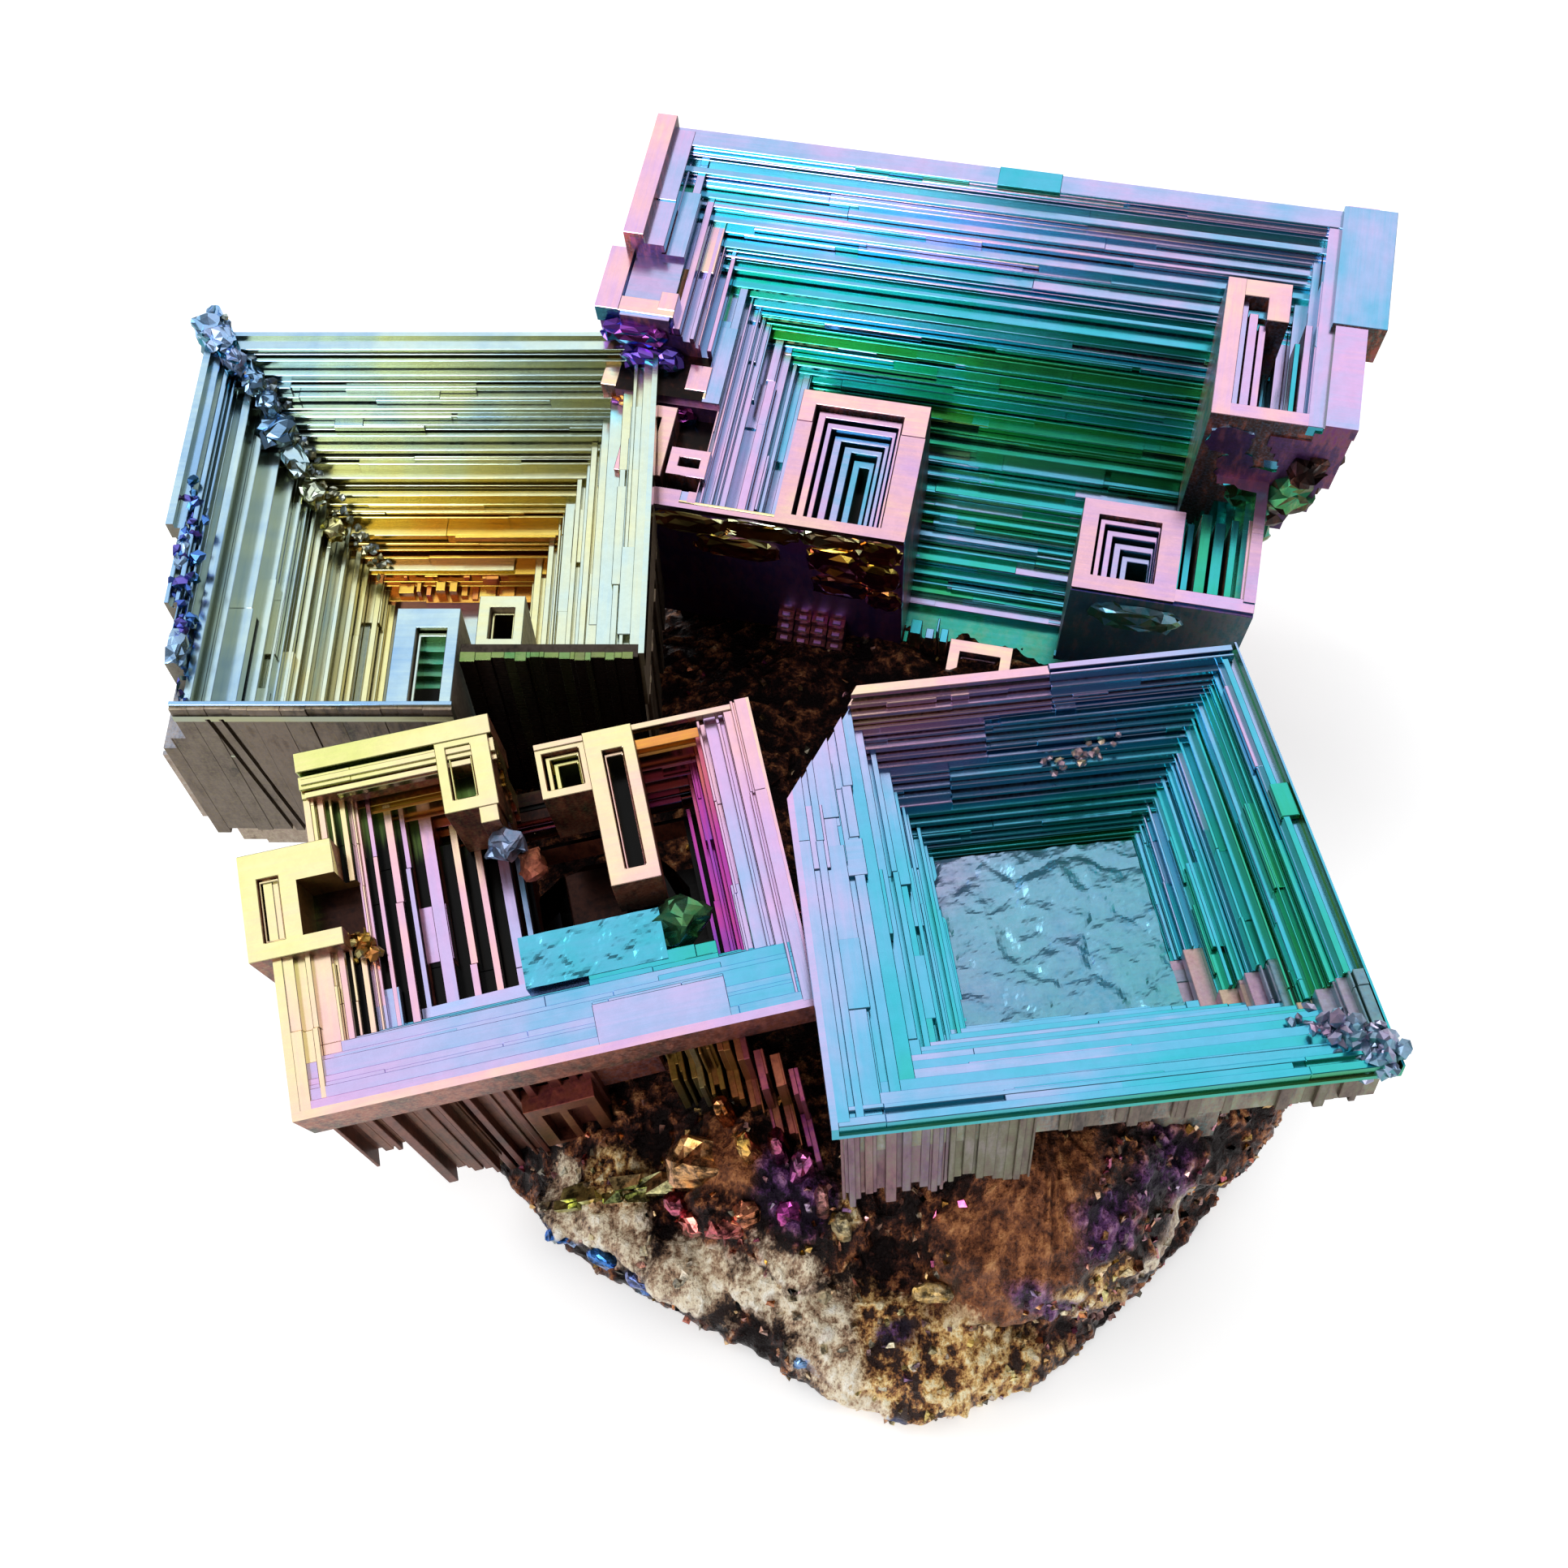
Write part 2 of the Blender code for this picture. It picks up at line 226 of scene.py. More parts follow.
class Crystal:
    """One hopper, grown from bars in its own frame."""

    def __init__(self, name, at, tilt, rim, steps, foot, seed, skin_film, riser_film, riser_painted_shade):
        self.name = name
        self.rim = rim
        self.steps = steps
        # The film shift on risers, and how dark the painted shade on them is.
        self.risers = (riser_film, riser_painted_shade)
        self.rng = Random(seed)
        self.place = Matrix.Translation(Vector(at)) @ turned(tilt).to_4x4()
        self.wide = (rim[0] + MARGIN, rim[1] - MARGIN)
        self.long = (rim[2] + MARGIN, rim[3] - MARGIN)
        levels = [(0.0, rim)] + [(z, inset(rim, *amounts)) for z, *amounts in steps]
        self.groups = []
        self.body = self.solid(terrace(levels, foot), skin_film)
        bpy.context.scene.collection.objects.link(self.body)

    def group(self, operation):
        """Starts the next group of solids, which all join or all cut what has grown so far."""
        made = collection(f"{self.name}_{len(self.groups)}")
        self.groups.append((operation, made))

    def solid(self, bm, film, tarnish=0.0, run=0.0):
        """An object in the crystal's own frame, with its numbers for the material on its faces."""
        for key, value in (("film", film), ("tarnish", tarnish), ("run", run)):
            layer = bm.faces.layers.float.new(key)
            for face in bm.faces:
                face[layer] = value
        bmesh.ops.recalc_face_normals(bm, faces=bm.faces)
        return bpy.data.objects.new(self.name, as_mesh(bm, self.name))

    def add(self, bm, film, tarnish=0.0, run=0.0):
        """Puts a solid in the group that was started last."""
        self.groups[-1][1].objects.link(self.solid(bm, film, tarnish, run))

    def bar(self, x0, x1, y0, y1, z0, z1, film, tarnish=0.0, bevel=BEVEL):
        """A bar with bevelled edges. Its streaks run along its longer side."""
        bm = block(x0, x1, y0, y1, z0, z1)
        small = min(x1 - x0, y1 - y0, z1 - z0)
        bmesh.ops.bevel(bm, geom=bm.edges[:], offset=min(bevel, 0.3 * small), segments=1, affect="EDGES")
        self.add(bm, film, tarnish, 1.0 if y1 - y0 > x1 - x0 else 0.0)

    def cut(self, limits, walls, floor):
        """Takes a box away. The cut's dull walls and its floor get their own films."""
        made = self.solid(block(*limits), walls, 0.8)
        lowest = min(made.data.polygons, key=lambda face: face.center.z)
        made.data.attributes["film"].data[lowest.index].value = floor
        made.data.attributes["tarnish"].data[lowest.index].value = 0.1
        self.groups[-1][1].objects.link(made)

    def ring(self, outer, inner, z0, z1, film, tarnish=0.0):
        """A square frame in one piece, with bevelled edges."""
        bm = bmesh.new()
        loops = []
        for z in (z0, z1):
            for x0, x1, y0, y1 in (outer, inner):
                corners = ((x0, y0), (x1, y0), (x1, y1), (x0, y1))
                loops.append([bm.verts.new((x, y, z)) for x, y in corners])
        for a, b in ((0, 1), (1, 3), (3, 2), (2, 0)):
            for corner in range(4):
                following = (corner + 1) % 4
                quad = (loops[a][corner], loops[a][following], loops[b][following], loops[b][corner])
                bm.faces.new(quad)
        bmesh.ops.recalc_face_normals(bm, faces=bm.faces)
        sharp = [edge for edge in bm.edges if edge.calc_face_angle() > 1.0]
        bmesh.ops.bevel(bm, geom=sharp, offset=BEVEL, segments=1, affect="EDGES")
        self.add(bm, film, tarnish)

    def outer(self, side, z):
        """Where the outer face of a wall is at a height."""
        axis, sign = SIDES[side]
        edge = self.rim[2 * axis + (sign > 0)]
        column = 1 + (LEFT, RIGHT, FRONT, BACK).index(side)
        for step in self.steps:
            if z <= step[0] + 0.01:
                edge = self.rim[2 * axis + (sign > 0)] - sign * step[column]
        return edge

    def ledge(self, side, inner, span, top, bottom, film, reach=2.2, tarnish=0.0):
        """One bar of a wall: its inner edge, its span along the wall, its top and its bottom."""
        axis, sign = SIDES[side]
        limit = self.outer(side, bottom) - sign * SKIN
        ends = (FRONT, BACK) if axis == 0 else (LEFT, RIGHT)
        span = (
            max(span[0], self.outer(ends[0], bottom) + SKIN),
            min(span[1], self.outer(ends[1], bottom) - SKIN),
        )
        outer = min(inner + reach, limit) if sign > 0 else max(inner - reach, limit)
        if (outer - inner) * sign < 0.05 or span[1] - span[0] < 0.05:
            return
        across = sorted((inner, outer))
        if axis == 0:
            self.bar(*across, *span, bottom, top, film, tarnish)
        else:
            self.bar(*span, *across, bottom, top, film, tarnish)

    def stairs(self, side, profile, count, span, film, lips=0.4, slots=0.6, spread=0.6, extras=0.4,
               groove=0.4,
               deep=0.3, tarnish=0.0):
        """A wall of uneven ledges, down a profile of (edge, depth) points from the mouth to the floor.

        film is (at the mouth, at the floor, jitter). lips and slots are the shares of ledges with a raised
        edge and with a dark slot under them, extras is how often a ledge has a broken piece on it, groove
        is how deep it can be behind a raised edge, and deep the share of grooves that are as deep as that.
        Such grooves are painted black inside, as shade, if they are deeper than DEEP_GROOVE.
        """
        rng = self.rng
        sign = SIDES[side][1]
        shares = uneven(count, rng, spread)
        edges = [along_profile(profile, share)[0] for share in shares]
        tops = [-along_profile(profile, 0.5 * (a + b))[1] for a, b in zip(shares, shares[1:])]
        tops.append(-profile[-1][1] - 0.6)
        for index in range(count):
            inner, was = edges[index + 1], edges[index]
            rise, run = tops[index] - tops[index + 1], abs(inner - was)
            back = run + 1.5
            lip = rng.uniform(0.35, 0.6) * run
            base = between(film[0], film[1], shares[index + 1]) + rng.uniform(-film[2], film[2])
            lipped = rng.random() < lips and lip > 0.1
            for part in stretches(span, rng):
                shade = base + rng.uniform(-0.5, 0.5) * film[2]
                top = tops[index] + rng.uniform(-0.15, 0.15) * min(rise, 0.4)
                foot = tops[index + 1] + (0.25 * rise if rng.random() < slots and rise > 0.15 else -0.3)
                edge = inner + sign * rng.uniform(-0.1, 0.1) * run
                if lipped:
                    sunk = rng.random() < deep
                    black = sunk and groove > DEEP_GROOVE
                    low = groove if sunk else min(0.7 * rise, groove)
                    # A deep groove's floor, and its far wall raised up to the ledge before, are painted
                    # black as shade.
                    floor = BLACK_AND_SHADE if black else shade
                    crest = tops[index - 1] - 0.2 if index and black else top + 0.1
                    behind, riser = edge + sign * 0.5 * lip, inner + sign * (run - 0.02)
                    self.ledge(side, edge, part, top, foot, shade, lip, tarnish)
                    self.ledge(side, behind, part, top - low, foot - low, floor, back, tarnish)
                    self.ledge(side, riser, part, crest, top - low - 0.1, floor, 1.2, tarnish)
                else:
                    self.ledge(side, edge, part, top, foot, shade, back, tarnish)
            while rng.random() < extras:
                length = (span[1] - span[0]) * rng.uniform(0.05, 0.4)
                start = rng.uniform(span[0], span[1] - length)
                proud = min(0.16, 0.35 * run)
                self.ledge(
                    side,
                    inner - sign * rng.uniform(0.3, 1.0) * proud,
                    (start, start + length),
                    tops[index] + rng.uniform(-1.0, 0.4) * proud,
                    tops[index + 1] + 0.1 * rise,
                    base + rng.uniform(-1.5, 1.5) * film[2],
                    back,
                    tarnish,
                )

    def spiral(self, x0, x1, y0, y1, top, foot, widths, turns, pitches, drop, film):
        """A small square hopper on a pillar: frames that step down round a pit, with gaps between them, over
        a floor painted black as shade.

        widths and pitches are those of the left, right, front and back bars, of the top frame and of
        each one below it, drop is how far each frame is below the last, and film is (outside, inside).
        """
        outer = (x0, x1, y0, y1)
        inner = inset(outer, *widths)
        z = top
        for turn in range(turns):
            shade = between(film[0], film[1], turn / max(1, turns - 1))
            self.ring(outer, inner, foot, z, shade, 0.02 * turn)
            steps = [pitch * self.rng.uniform(0.75, 1.25) for pitch in pitches]
            outer = inset(inner, *[SPIRAL_GAP * step for step in steps])
            inner = inset(inner, *steps)
            if inner[1] - inner[0] < 0.2 or inner[3] - inner[2] < 0.2:
                break
            z -= drop * self.rng.uniform(0.6, 1.3)
        # The floor of the pit and of the gaps is painted black as shade.
        self.bar(x0 + 0.1, x1 - 0.1, y0 + 0.1, y1 - 0.1, foot, z - 1.5, BLACK_AND_SHADE)

    def fins(self, x0, x1, y0, y1, foot, tops, count, film):
        """Thin upright plates side by side, at uneven heights."""
        rng = self.rng
        shares = uneven(count, rng, 0.7)
        for start, end in zip(shares, shares[1:]):
            left, right = between(x0, x1, start), between(x0, x1, end)
            thick = (right - left) * rng.uniform(0.5, 0.9)
            shade = film[0] + rng.uniform(-film[1], film[1])
            self.bar(left, left + thick, y0 + rng.uniform(0.0, 0.4), y1, foot, rng.uniform(*tops), shade)

    def rubble(self, points, count, size, spread, film, tarnish):
        """Broken grains strewn along a line of points."""
        rng = self.rng
        for _ in range(count):
            start = rng.randrange(len(points) - 1)
            middle = Vector(points[start]).lerp(Vector(points[start + 1]), rng.random())
            middle += Vector([rng.gauss(0, spread) for _ in range(3)])
            bm = bmesh.new()
            bmesh.ops.create_icosphere(bm, subdivisions=1, radius=1.0)
            scale = [size * rng.uniform(0.5, 1.3) for _ in range(3)]
            turn = Euler([rng.uniform(0, tau) for _ in range(3)]).to_matrix()
            for v in bm.verts:
                v.co = middle + turn @ Vector([c * s * rng.uniform(0.75, 1.15) for c, s in zip(v.co, scale)])
            self.add(bm, film + rng.uniform(-FILM_JITTER, FILM_JITTER), tarnish)

    def curtain(self, side, span, face, top, bottom, pitch, ragged, film, tarnish=1.0, proud=0.1, thick=0.3):
        """Upright columns side by side along a face.

        pitch is their usual width, ragged how uneven their lower ends are, and proud how far they can
        stand out of the face.
        """
        axis, sign = SIDES[side]
        rng = self.rng
        start = span[0]
        while start < span[1] - 0.3 * pitch:
            end = min(span[1], start + pitch * rng.uniform(0.4, 1.7))
            out = face + sign * proud * rng.random() ** 1.5
            low = bottom + rng.uniform(-ragged, ragged)
            across = sorted((out, face - sign * thick))
            shade = film + rng.uniform(-0.03, 0.03)
            limits = (*across, start, end) if axis == 0 else (start, end, *across)
            self.bar(*limits, low, top - rng.uniform(0.0, 0.05), shade, tarnish)
            start = end - 0.02

    def rough(self, x0, x1, y0, y1, z0, z1, height, film, tarnish, scale=1.3):
        """A block with a crumpled top."""
        bm = bmesh.new()
        sizes = [max(2, round((b - a) / ROUGH_GRID)) for a, b in ((x0, x1), (y0, y1))]
        bmesh.ops.create_grid(bm, x_segments=sizes[0], y_segments=sizes[1], size=1.0)
        for v in bm.verts:
            v.co = (between(x0, x1, 0.5 + 0.5 * v.co.x), between(y0, y1, 0.5 + 0.5 * v.co.y), z1)
            cell = noise.voronoi(v.co / scale)[0]
            crumple = 0.6 * noise.fractal(v.co / scale, 1.0, 2.2, 5)
            v.co.z += height * (min(0.35, cell[1] - cell[0]) + crumple)
        base = bmesh.ops.extrude_face_region(bm, geom=bm.faces[:])["geom"]
        for v in (part for part in base if isinstance(part, bmesh.types.BMVert)):
            v.co.z = z0
        self.add(bm, film, tarnish)

    def boulder(self, middle, half, film, tarnish, turn=(0, 0, 0), lump=0.5, detail=3):
        """A rounded rough lump."""
        bm = bmesh.new()
        lumpy(bm, middle, half, turn, lump=lump, pitch=0.8, detail=detail)
        self.add(bm, film, tarnish)

    def finish(self, material):
        """Joins and cuts everything, and moves the result into the row's frame."""
        for index, (operation, tools) in enumerate(self.groups):
            modifier = self.body.modifiers.new(f"{operation}_{index}", "BOOLEAN")
            modifier.operation = operation
            modifier.solver = "MANIFOLD"
            modifier.operand_type = "COLLECTION"
            modifier.collection = tools
        depsgraph = bpy.context.evaluated_depsgraph_get()
        depsgraph.update()
        mesh = bpy.data.meshes.new_from_object(self.body.evaluated_get(depsgraph))
        for _, tools in self.groups:
            for tool in list(tools.objects):
                bpy.data.objects.remove(tool)
            bpy.data.collections.remove(tools)
        bpy.data.objects.remove(self.body)
        weather(mesh, *self.risers)
        mark_place(mesh)
        mesh.transform(Matrix.Scale(MM, 4) @ self.place)
        return piece(self.name, mesh, material)


def weather(mesh, riser_film, riser_painted_shade):
    """Shifts the film on risers and darkens them with painted shade, and dulls undersides and faces taller
    than a ledge.
    """
    film = mesh.attributes["film"].data
    tarnish = mesh.attributes["tarnish"].data
    # The shade attribute is painted shade: how far a riser between the ledges is darkened towards black.
    shade = mesh.attributes.new("shade", "FLOAT", "FACE").data
    for face in mesh.polygons:
        upright = abs(face.normal.z) < UPRIGHT
        if upright and film[face.index].value < BLACK_AND_SHADE:
            film[face.index].value += riser_film
            shade[face.index].value = riser_painted_shade
        if tarnish[face.index].value > 0.0:
            continue
        heights = [mesh.vertices[index].co.z for index in face.vertices]
        if face.normal.z < UNDERSIDE or (upright and max(heights) - min(heights) > TALL):
            tarnish[face.index].value = 1.0
            shade[face.index].value = 0.0


def mark_place(mesh):
    """Keeps where every point was in its crystal's own frame, in millimetres, for the material."""
    layer = mesh.attributes.new("place", "FLOAT_VECTOR", "POINT")
    layer.data.foreach_set("vector", [value for v in mesh.vertices for value in v.co])


def piece(name, mesh, material):
    """A finished piece of the object: it rides on the body and stands for the CAD node."""
    made = bpy.data.objects.new(name, mesh)
    mesh.name = name
    mesh.materials.clear()
    mesh.materials.append(material)
    bpy.context.scene.collection.objects.link(made)
    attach(made, BODY)
    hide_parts(NODE)
    return made


# ---------------------------------------------------------------- the four hoppers


def hollow(mouth, floor, depth, levels):
    """What is cut out of a shell, so that the ledges can be built into it: a plain stepped well."""
    grow = (-BACKING, BACKING, -BACKING, BACKING)
    rects = []
    for index in range(levels):
        share = (index + 1) / levels
        rect = [between(a, b, share) + more for a, b, more in zip(mouth, floor, grow)]
        rects.append((-depth * (index + 0.5) / levels - 0.3, rect))
    top = [a + more for a, more in zip(mouth, grow)]
    return terrace([(OVER, top)] + rects, -depth - 0.3)


def gold_hopper(material):
    """The silver and yellow hopper at the back left, with two small spirals on its broken front."""
    rim = (-13.3, 12.8, -12.7, 12.9)
    steps = (
        (-1.2, 0.2, 0.1, 0.1, 0.2),
        (-5.0, 1.2, 0.3, 0.2, 0.8),
        (-13.0, 1.6, 0.9, 0.6, 2.5),
        (-15.5, 2.4, 2.5, 1.4, 4.5),
    )
    crystal = Crystal("gold_hopper", GOLD_AT, GOLD_TILT, rim, steps, foot=-17.5, seed=11, skin_film=0.03,
                      riser_film=0.07, riser_painted_shade=0.62)
    crystal.group("DIFFERENCE")
    well = hollow((-12.4, 12.0, -12.2, 12.1), (-3.5, 4.2, -12.0, 1.7), depth=11.5, levels=14)
    crystal.add(well, 0.04, 0.1)
    crystal.group("UNION")
    wide, long = crystal.wide, crystal.long
    crystal.stairs(BACK, ((12.1, 0.0), (7.4, 5.2)), 12, wide, (0.025, 0.058, 0.012), spread=0.75)
    crystal.stairs(BACK, ((7.4, 5.2), (1.7, 11.5)), 13, wide, (0.07, 0.19, 0.012), spread=0.75)
    crystal.stairs(LEFT, ((-12.4, 0.0), (-3.5, 11.5)), 17, long, (0.01, 0.11, 0.012), lips=0.7)
    crystal.stairs(RIGHT, ((12.0, 0.0), (4.2, 11.5)), 14, (-8.6, long[1]), (0.03, 0.09, 0.015), lips=0.7)
    crystal.bar(*wide, rim[2] + 0.25, -12.2, -12.0, 0.02, 0.0)
    crystal.bar(-5.7, 3.8, 3.0, 5.0, -12.0, -9.6, 0.09)
    crystal.curtain(FRONT, (-3.6, 4.4), 3.0, -9.9, -12.0, 0.5, 0.2, 0.19, 0.0, 0.4)
    crystal.fins(-3.2, 4.0, 1.6, 2.6, -12.0, (-11.0, -10.2), 9, (0.2, 0.05))
    crystal.boulder((-13.1, 13.2, -1.4), (0.8, 0.9, 1.6), 1.05, 0.3)
    for x, y, z, half_x, half_y, film in (
        (-13.0, 13.0, 0.2, 1.0, 1.0, 1.07), (-12.3, 12.0, 0.2, 0.7, 1.1, 1.06),
        (-11.6, 11.0, -0.3, 0.6, 1.2, 1.05),
        (-10.7, 10.4, -1.0, 0.6, 1.3, 0.02), (-9.9, 9.2, -1.8, 0.5, 0.9, -0.02),
        (-9.3, 7.8, -2.7, 1.1, 0.9, 0.0),
        (-8.4, 6.6, -3.9, 0.7, 1.2, 0.04), (-7.5, 5.2, -5.2, 0.6, 0.8, 0.08),
        (-6.4, 3.9, -6.8, 0.6, 0.6, 0.12),
    ):
        crystal.boulder((x, y, z), (half_x, half_y, 0.7), film, 0.0, (0, 0, 30), 0.6)
    crystal.spiral(-0.2, 3.1, -12.5, -6.4, top=-0.15, foot=-13.0, widths=(1.1, 0.6, 0.1, 1.2), turns=2,
                   pitches=(0.2, 0.1, 0.02, 0.3), drop=0.3, film=(0.02, 0.05))
    crystal.spiral(4.0, 6.4, -8.7, -5.5, top=-0.3, foot=-13.0, widths=(0.6, 0.5, 0.5, 0.7), turns=2,
                   pitches=(0.2, 0.2, 0.2, 0.2), drop=0.4, film=(0.08, 0.1))
    for step in range(8):
        front = -12.0 + 0.5 * step
        crystal.bar(0.7, 2.6, front, front + 0.9, -9.0, -4.0 + 0.42 * step, 1.24, 0.3)
    crystal.rubble(((-12.6, 13.0, 0.3), (-10.0, 10.0, -1.5), (-8.0, 7.5, -4.0)), count=50, size=0.3,
                   spread=0.3, film=0.02, tarnish=0.35)
    crystal.rubble(((-8.0, 7.5, -4.0), (-5.5, 4.5, -7.0), (-3.8, 2.5, -9.5)), count=50, size=0.25,
                   spread=0.25, film=0.06, tarnish=0.4)
    crystal.rubble(((-12.6, 2.0, -0.6), (-12.0, -5.0, -0.8), (-11.6, -11.5, -1.2)), count=90, size=0.4,
                   spread=0.3, film=0.48, tarnish=0.1)
    crystal.boulder((-12.0, -8.6, -0.9), (0.9, 1.3, 0.7), 0.02, 0.2)
    crystal.boulder((-11.8, -11.0, -0.9), (0.8, 1.0, 0.6), 0.47, 0.2)
    crystal.boulder((-12.3, -2.5, -0.7), (0.4, 1.2, 0.5), 0.0, 0.2)
    crystal.curtain(FRONT, (-12.6, 3.4), rim[2] + 0.12, -0.1, -13.5, 1.4, 0.4, 0.1, 1.0)
    crystal.curtain(LEFT, (-11.5, 11.0), rim[0] + 1.2, -5.2, -13.5, 0.6, 0.9, 0.1, 1.0, 0.4)
    crystal.curtain(BACK, (-11.5, 12.0), rim[3] - 0.8, -5.2, -13.0, 0.6, 0.9, 0.1, 1.0, 0.4)
    crystal.curtain(RIGHT, (-8.5, 11.5), rim[1] - 0.3, -5.2, -13.0, 0.6, 0.9, 0.1, 1.0, 0.3)
    crystal.group("DIFFERENCE")
    for limits in (
        (3.2, FAR, -FAR, -9.3, -FAR, OVER),
        (-FAR, -12.6, -FAR, -1.0, -5.0, OVER),
        (-FAR, -11.9, -FAR, -5.9, -4.0, OVER),
        (-FAR, -11.1, -FAR, -9.7, -3.0, OVER),
    ):
        crystal.add(block(*limits), 0.02, 0.8)
    for slant in (-9.6, -8.9):
        groove = block(slant, slant + 0.25, -FAR, rim[2] + 0.35, -FAR, -1.0)
        lean = Matrix.Rotation(radians(-6), 3, "Y")
        bmesh.ops.rotate(groove, verts=groove.verts, cent=(slant, 0, 0), matrix=lean)
        crystal.add(groove, 0.1, 1.0)
    crystal.group("UNION")
    crystal.bar(3.3, 12.5, -9.4, -8.6, -14.0, -0.2, 1.43, 0.15)
    crystal.curtain(FRONT, (3.3, 12.3), -9.4, -0.15, -14.0, 0.5, 0.4, 1.33, 0.3, 0.35)
    return crystal.finish(material)


def violet_hopper(material):
    """The long hopper at the back right: lilac on its rim, and blue and green down in its well."""
    rim = (-22.5, 18.4, -9.9, 12.5)
    steps = (
        (-1.0, 0.2, 0.1, 0.1, 0.2),
        (-7.0, 0.8, 0.4, 0.2, 1.6),
        (-11.0, 2.2, 1.0, 0.3, 3.6),
        (-15.0, 4.0, 2.6, 0.4, 6.0),
    )
    crystal = Crystal("violet_hopper", VIOLET_AT, VIOLET_TILT, rim, steps, foot=-20.0, seed=22,
                      skin_film=0.97, riser_film=0.13, riser_painted_shade=0.3)
    crystal.group("DIFFERENCE")
    well = hollow((-21.2, 16.2, -9.5, 12.0), (-4.5, 9.5, -9.3, -6.5), depth=18.5, levels=18)
    crystal.add(well, 1.2, 0.2)
    crystal.group("UNION")
    wide, long = crystal.wide, crystal.long
    crystal.stairs(BACK, ((12.0, 0.0), (5.0, 4.7)), 14, wide, (0.94, 1.04, 0.07), spread=0.75, extras=0.6)
    crystal.stairs(BACK, ((5.0, 4.7), (2.2, 9.7)), 12, wide, (1.06, 1.18, 0.09), spread=0.75, extras=0.6)
    crystal.stairs(BACK, ((2.2, 9.7), (-6.5, 18.5)), 22, wide, (1.16, 1.1, 0.07), slots=0.4, spread=0.75,
                   extras=0.9)
    crystal.stairs(LEFT, ((-21.2, 0.0), (-4.5, 17.0)), 28, long, (0.94, 1.02, 0.04), lips=0.75, groove=0.8)
    crystal.stairs(RIGHT, ((16.2, 0.0), (9.5, 17.0)), 18, (-2.0, long[1]), (0.96, 1.06, 0.05), lips=0.6)
    crystal.bar(rim[0] + 0.3, -4.3, rim[2] + 0.25, -9.5, -18.0, -4.95, 0.84)
    crystal.bar(-20.6, -4.2, -10.0, -9.7, -5.4, -4.9, 0.85)
    crystal.bar(-22.9, -21.7, 4.0, 12.7, -3.5, 0.25, 0.93)
    violet_corner(crystal)
    crystal.spiral(-11.6, -4.2, -9.85, -1.1, top=-4.9, foot=-18.0, widths=(0.9, 1.4, 0.5, 0.9), turns=6,
                   pitches=(0.55, 0.3, 0.03, 0.5), drop=0.4, film=(0.91, 1.07))
    violet_slot(crystal)
    crystal.bar(16.5, 19.4, 4.4, 12.4, -2.8, 0.1, 1.05)
    crystal.spiral(5.2, 10.8, -10.5, -4.8, top=-5.9, foot=-15.0, widths=(0.9, 1.2, 0.9, 0.9), turns=5,
                   pitches=(0.45, 0.1, 0.05, 0.45), drop=0.35, film=(0.93, 1.02))
    crystal.bar(10.6, 15.1, -10.4, -9.6, -15.0, -6.1, 0.94)
    crystal.bar(14.3, 15.1, -10.4, -4.5, -15.0, -6.3, 0.92)
    crystal.fins(10.7, 14.4, -9.7, -4.4, -15.0, (-8.4, -6.4), 6, (1.17, 0.08))
    crystal.spiral(-1.2, 2.7, -11.8, -9.0, top=-17.5, foot=-20.5, widths=(0.7, 0.7, 0.3, 0.8), turns=2,
                   pitches=(0.2, 0.2, 0.2, 0.2), drop=0.4, film=(0.9, 0.95))
    crystal.fins(-8.0, -1.0, -10.0, -9.0, -20.0, (-17.5, -15.0), 12, (1.12, 0.1))
    violet_front(crystal)
    crystal.curtain(BACK, (-20.5, 15.5), rim[3] - 1.7, -7.2, -11.2, 1.3, 0.3, 0.98, 1.0)
    crystal.curtain(BACK, (-19.5, 14.5), rim[3] - 3.7, -11.2, -15.2, 1.0, 0.3, 0.98, 1.0)
    crystal.curtain(RIGHT, (-1.8, 9.0), rim[1] - 0.4, -1.2, -5.8, 0.6, 0.3, 0.98, 1.0)
    crystal.curtain(LEFT, (-3.0, 10.0), rim[0] + 0.8, -7.2, -11.2, 1.0, 0.3, 0.98, 1.0)
    crystal.group("DIFFERENCE")
    # Floors given the black film are painted black as shade down in the cuts.
    for limits, floor in (
        ((-FAR, -15.0, -FAR, 3.9, -1.5, OVER), 1.0),
        ((-FAR, -17.0, -FAR, -0.3, -4.5, OVER), BLACK_AND_SHADE),
        ((-FAR, -16.2, -8.9, -3.4, -6.3, OVER), BLACK_AND_SHADE),
        ((-FAR, -4.1, -FAR, -3.2, -4.95, OVER), 0.93),
        ((-FAR, -20.7, -FAR, -3.2, -FAR, OVER), BLACK_AND_SHADE),
        ((-FAR, -19.4, -FAR, -9.0, -FAR, OVER), BLACK_AND_SHADE),
        ((4.5, FAR, -FAR, -2.1, -6.0, OVER), 0.94),
        ((15.1, FAR, -FAR, -2.1, -FAR, OVER), 0.3),
        ((17.7, FAR, -FAR, FAR, -FAR, -5.8), 0.3),
        ((16.7, FAR, -FAR, FAR, -FAR, -8.4), 0.3),
        ((15.8, FAR, -FAR, FAR, -FAR, -10.6), 0.3),
        ((-4.1, 5.2, -FAR, -9.0, -14.5, OVER), 1.14),
    ):
        crystal.cut(limits, 0.28, floor)
    crystal.group("UNION")
    violet_left_blocks(crystal)
    violet_right_rock(crystal)
    return crystal.finish(material)


def violet_corner(crystal):
    """The broken frames that step down at the left end, as far as they belong to the shell."""
    crystal.bar(-23.2, -17.3, -2.7, 0.4, -9.0, -6.2, 0.3, 0.4)
    crystal.bar(-20.9, -18.2, -9.6, -2.7, -12.0, -7.2, 0.28, 0.4)


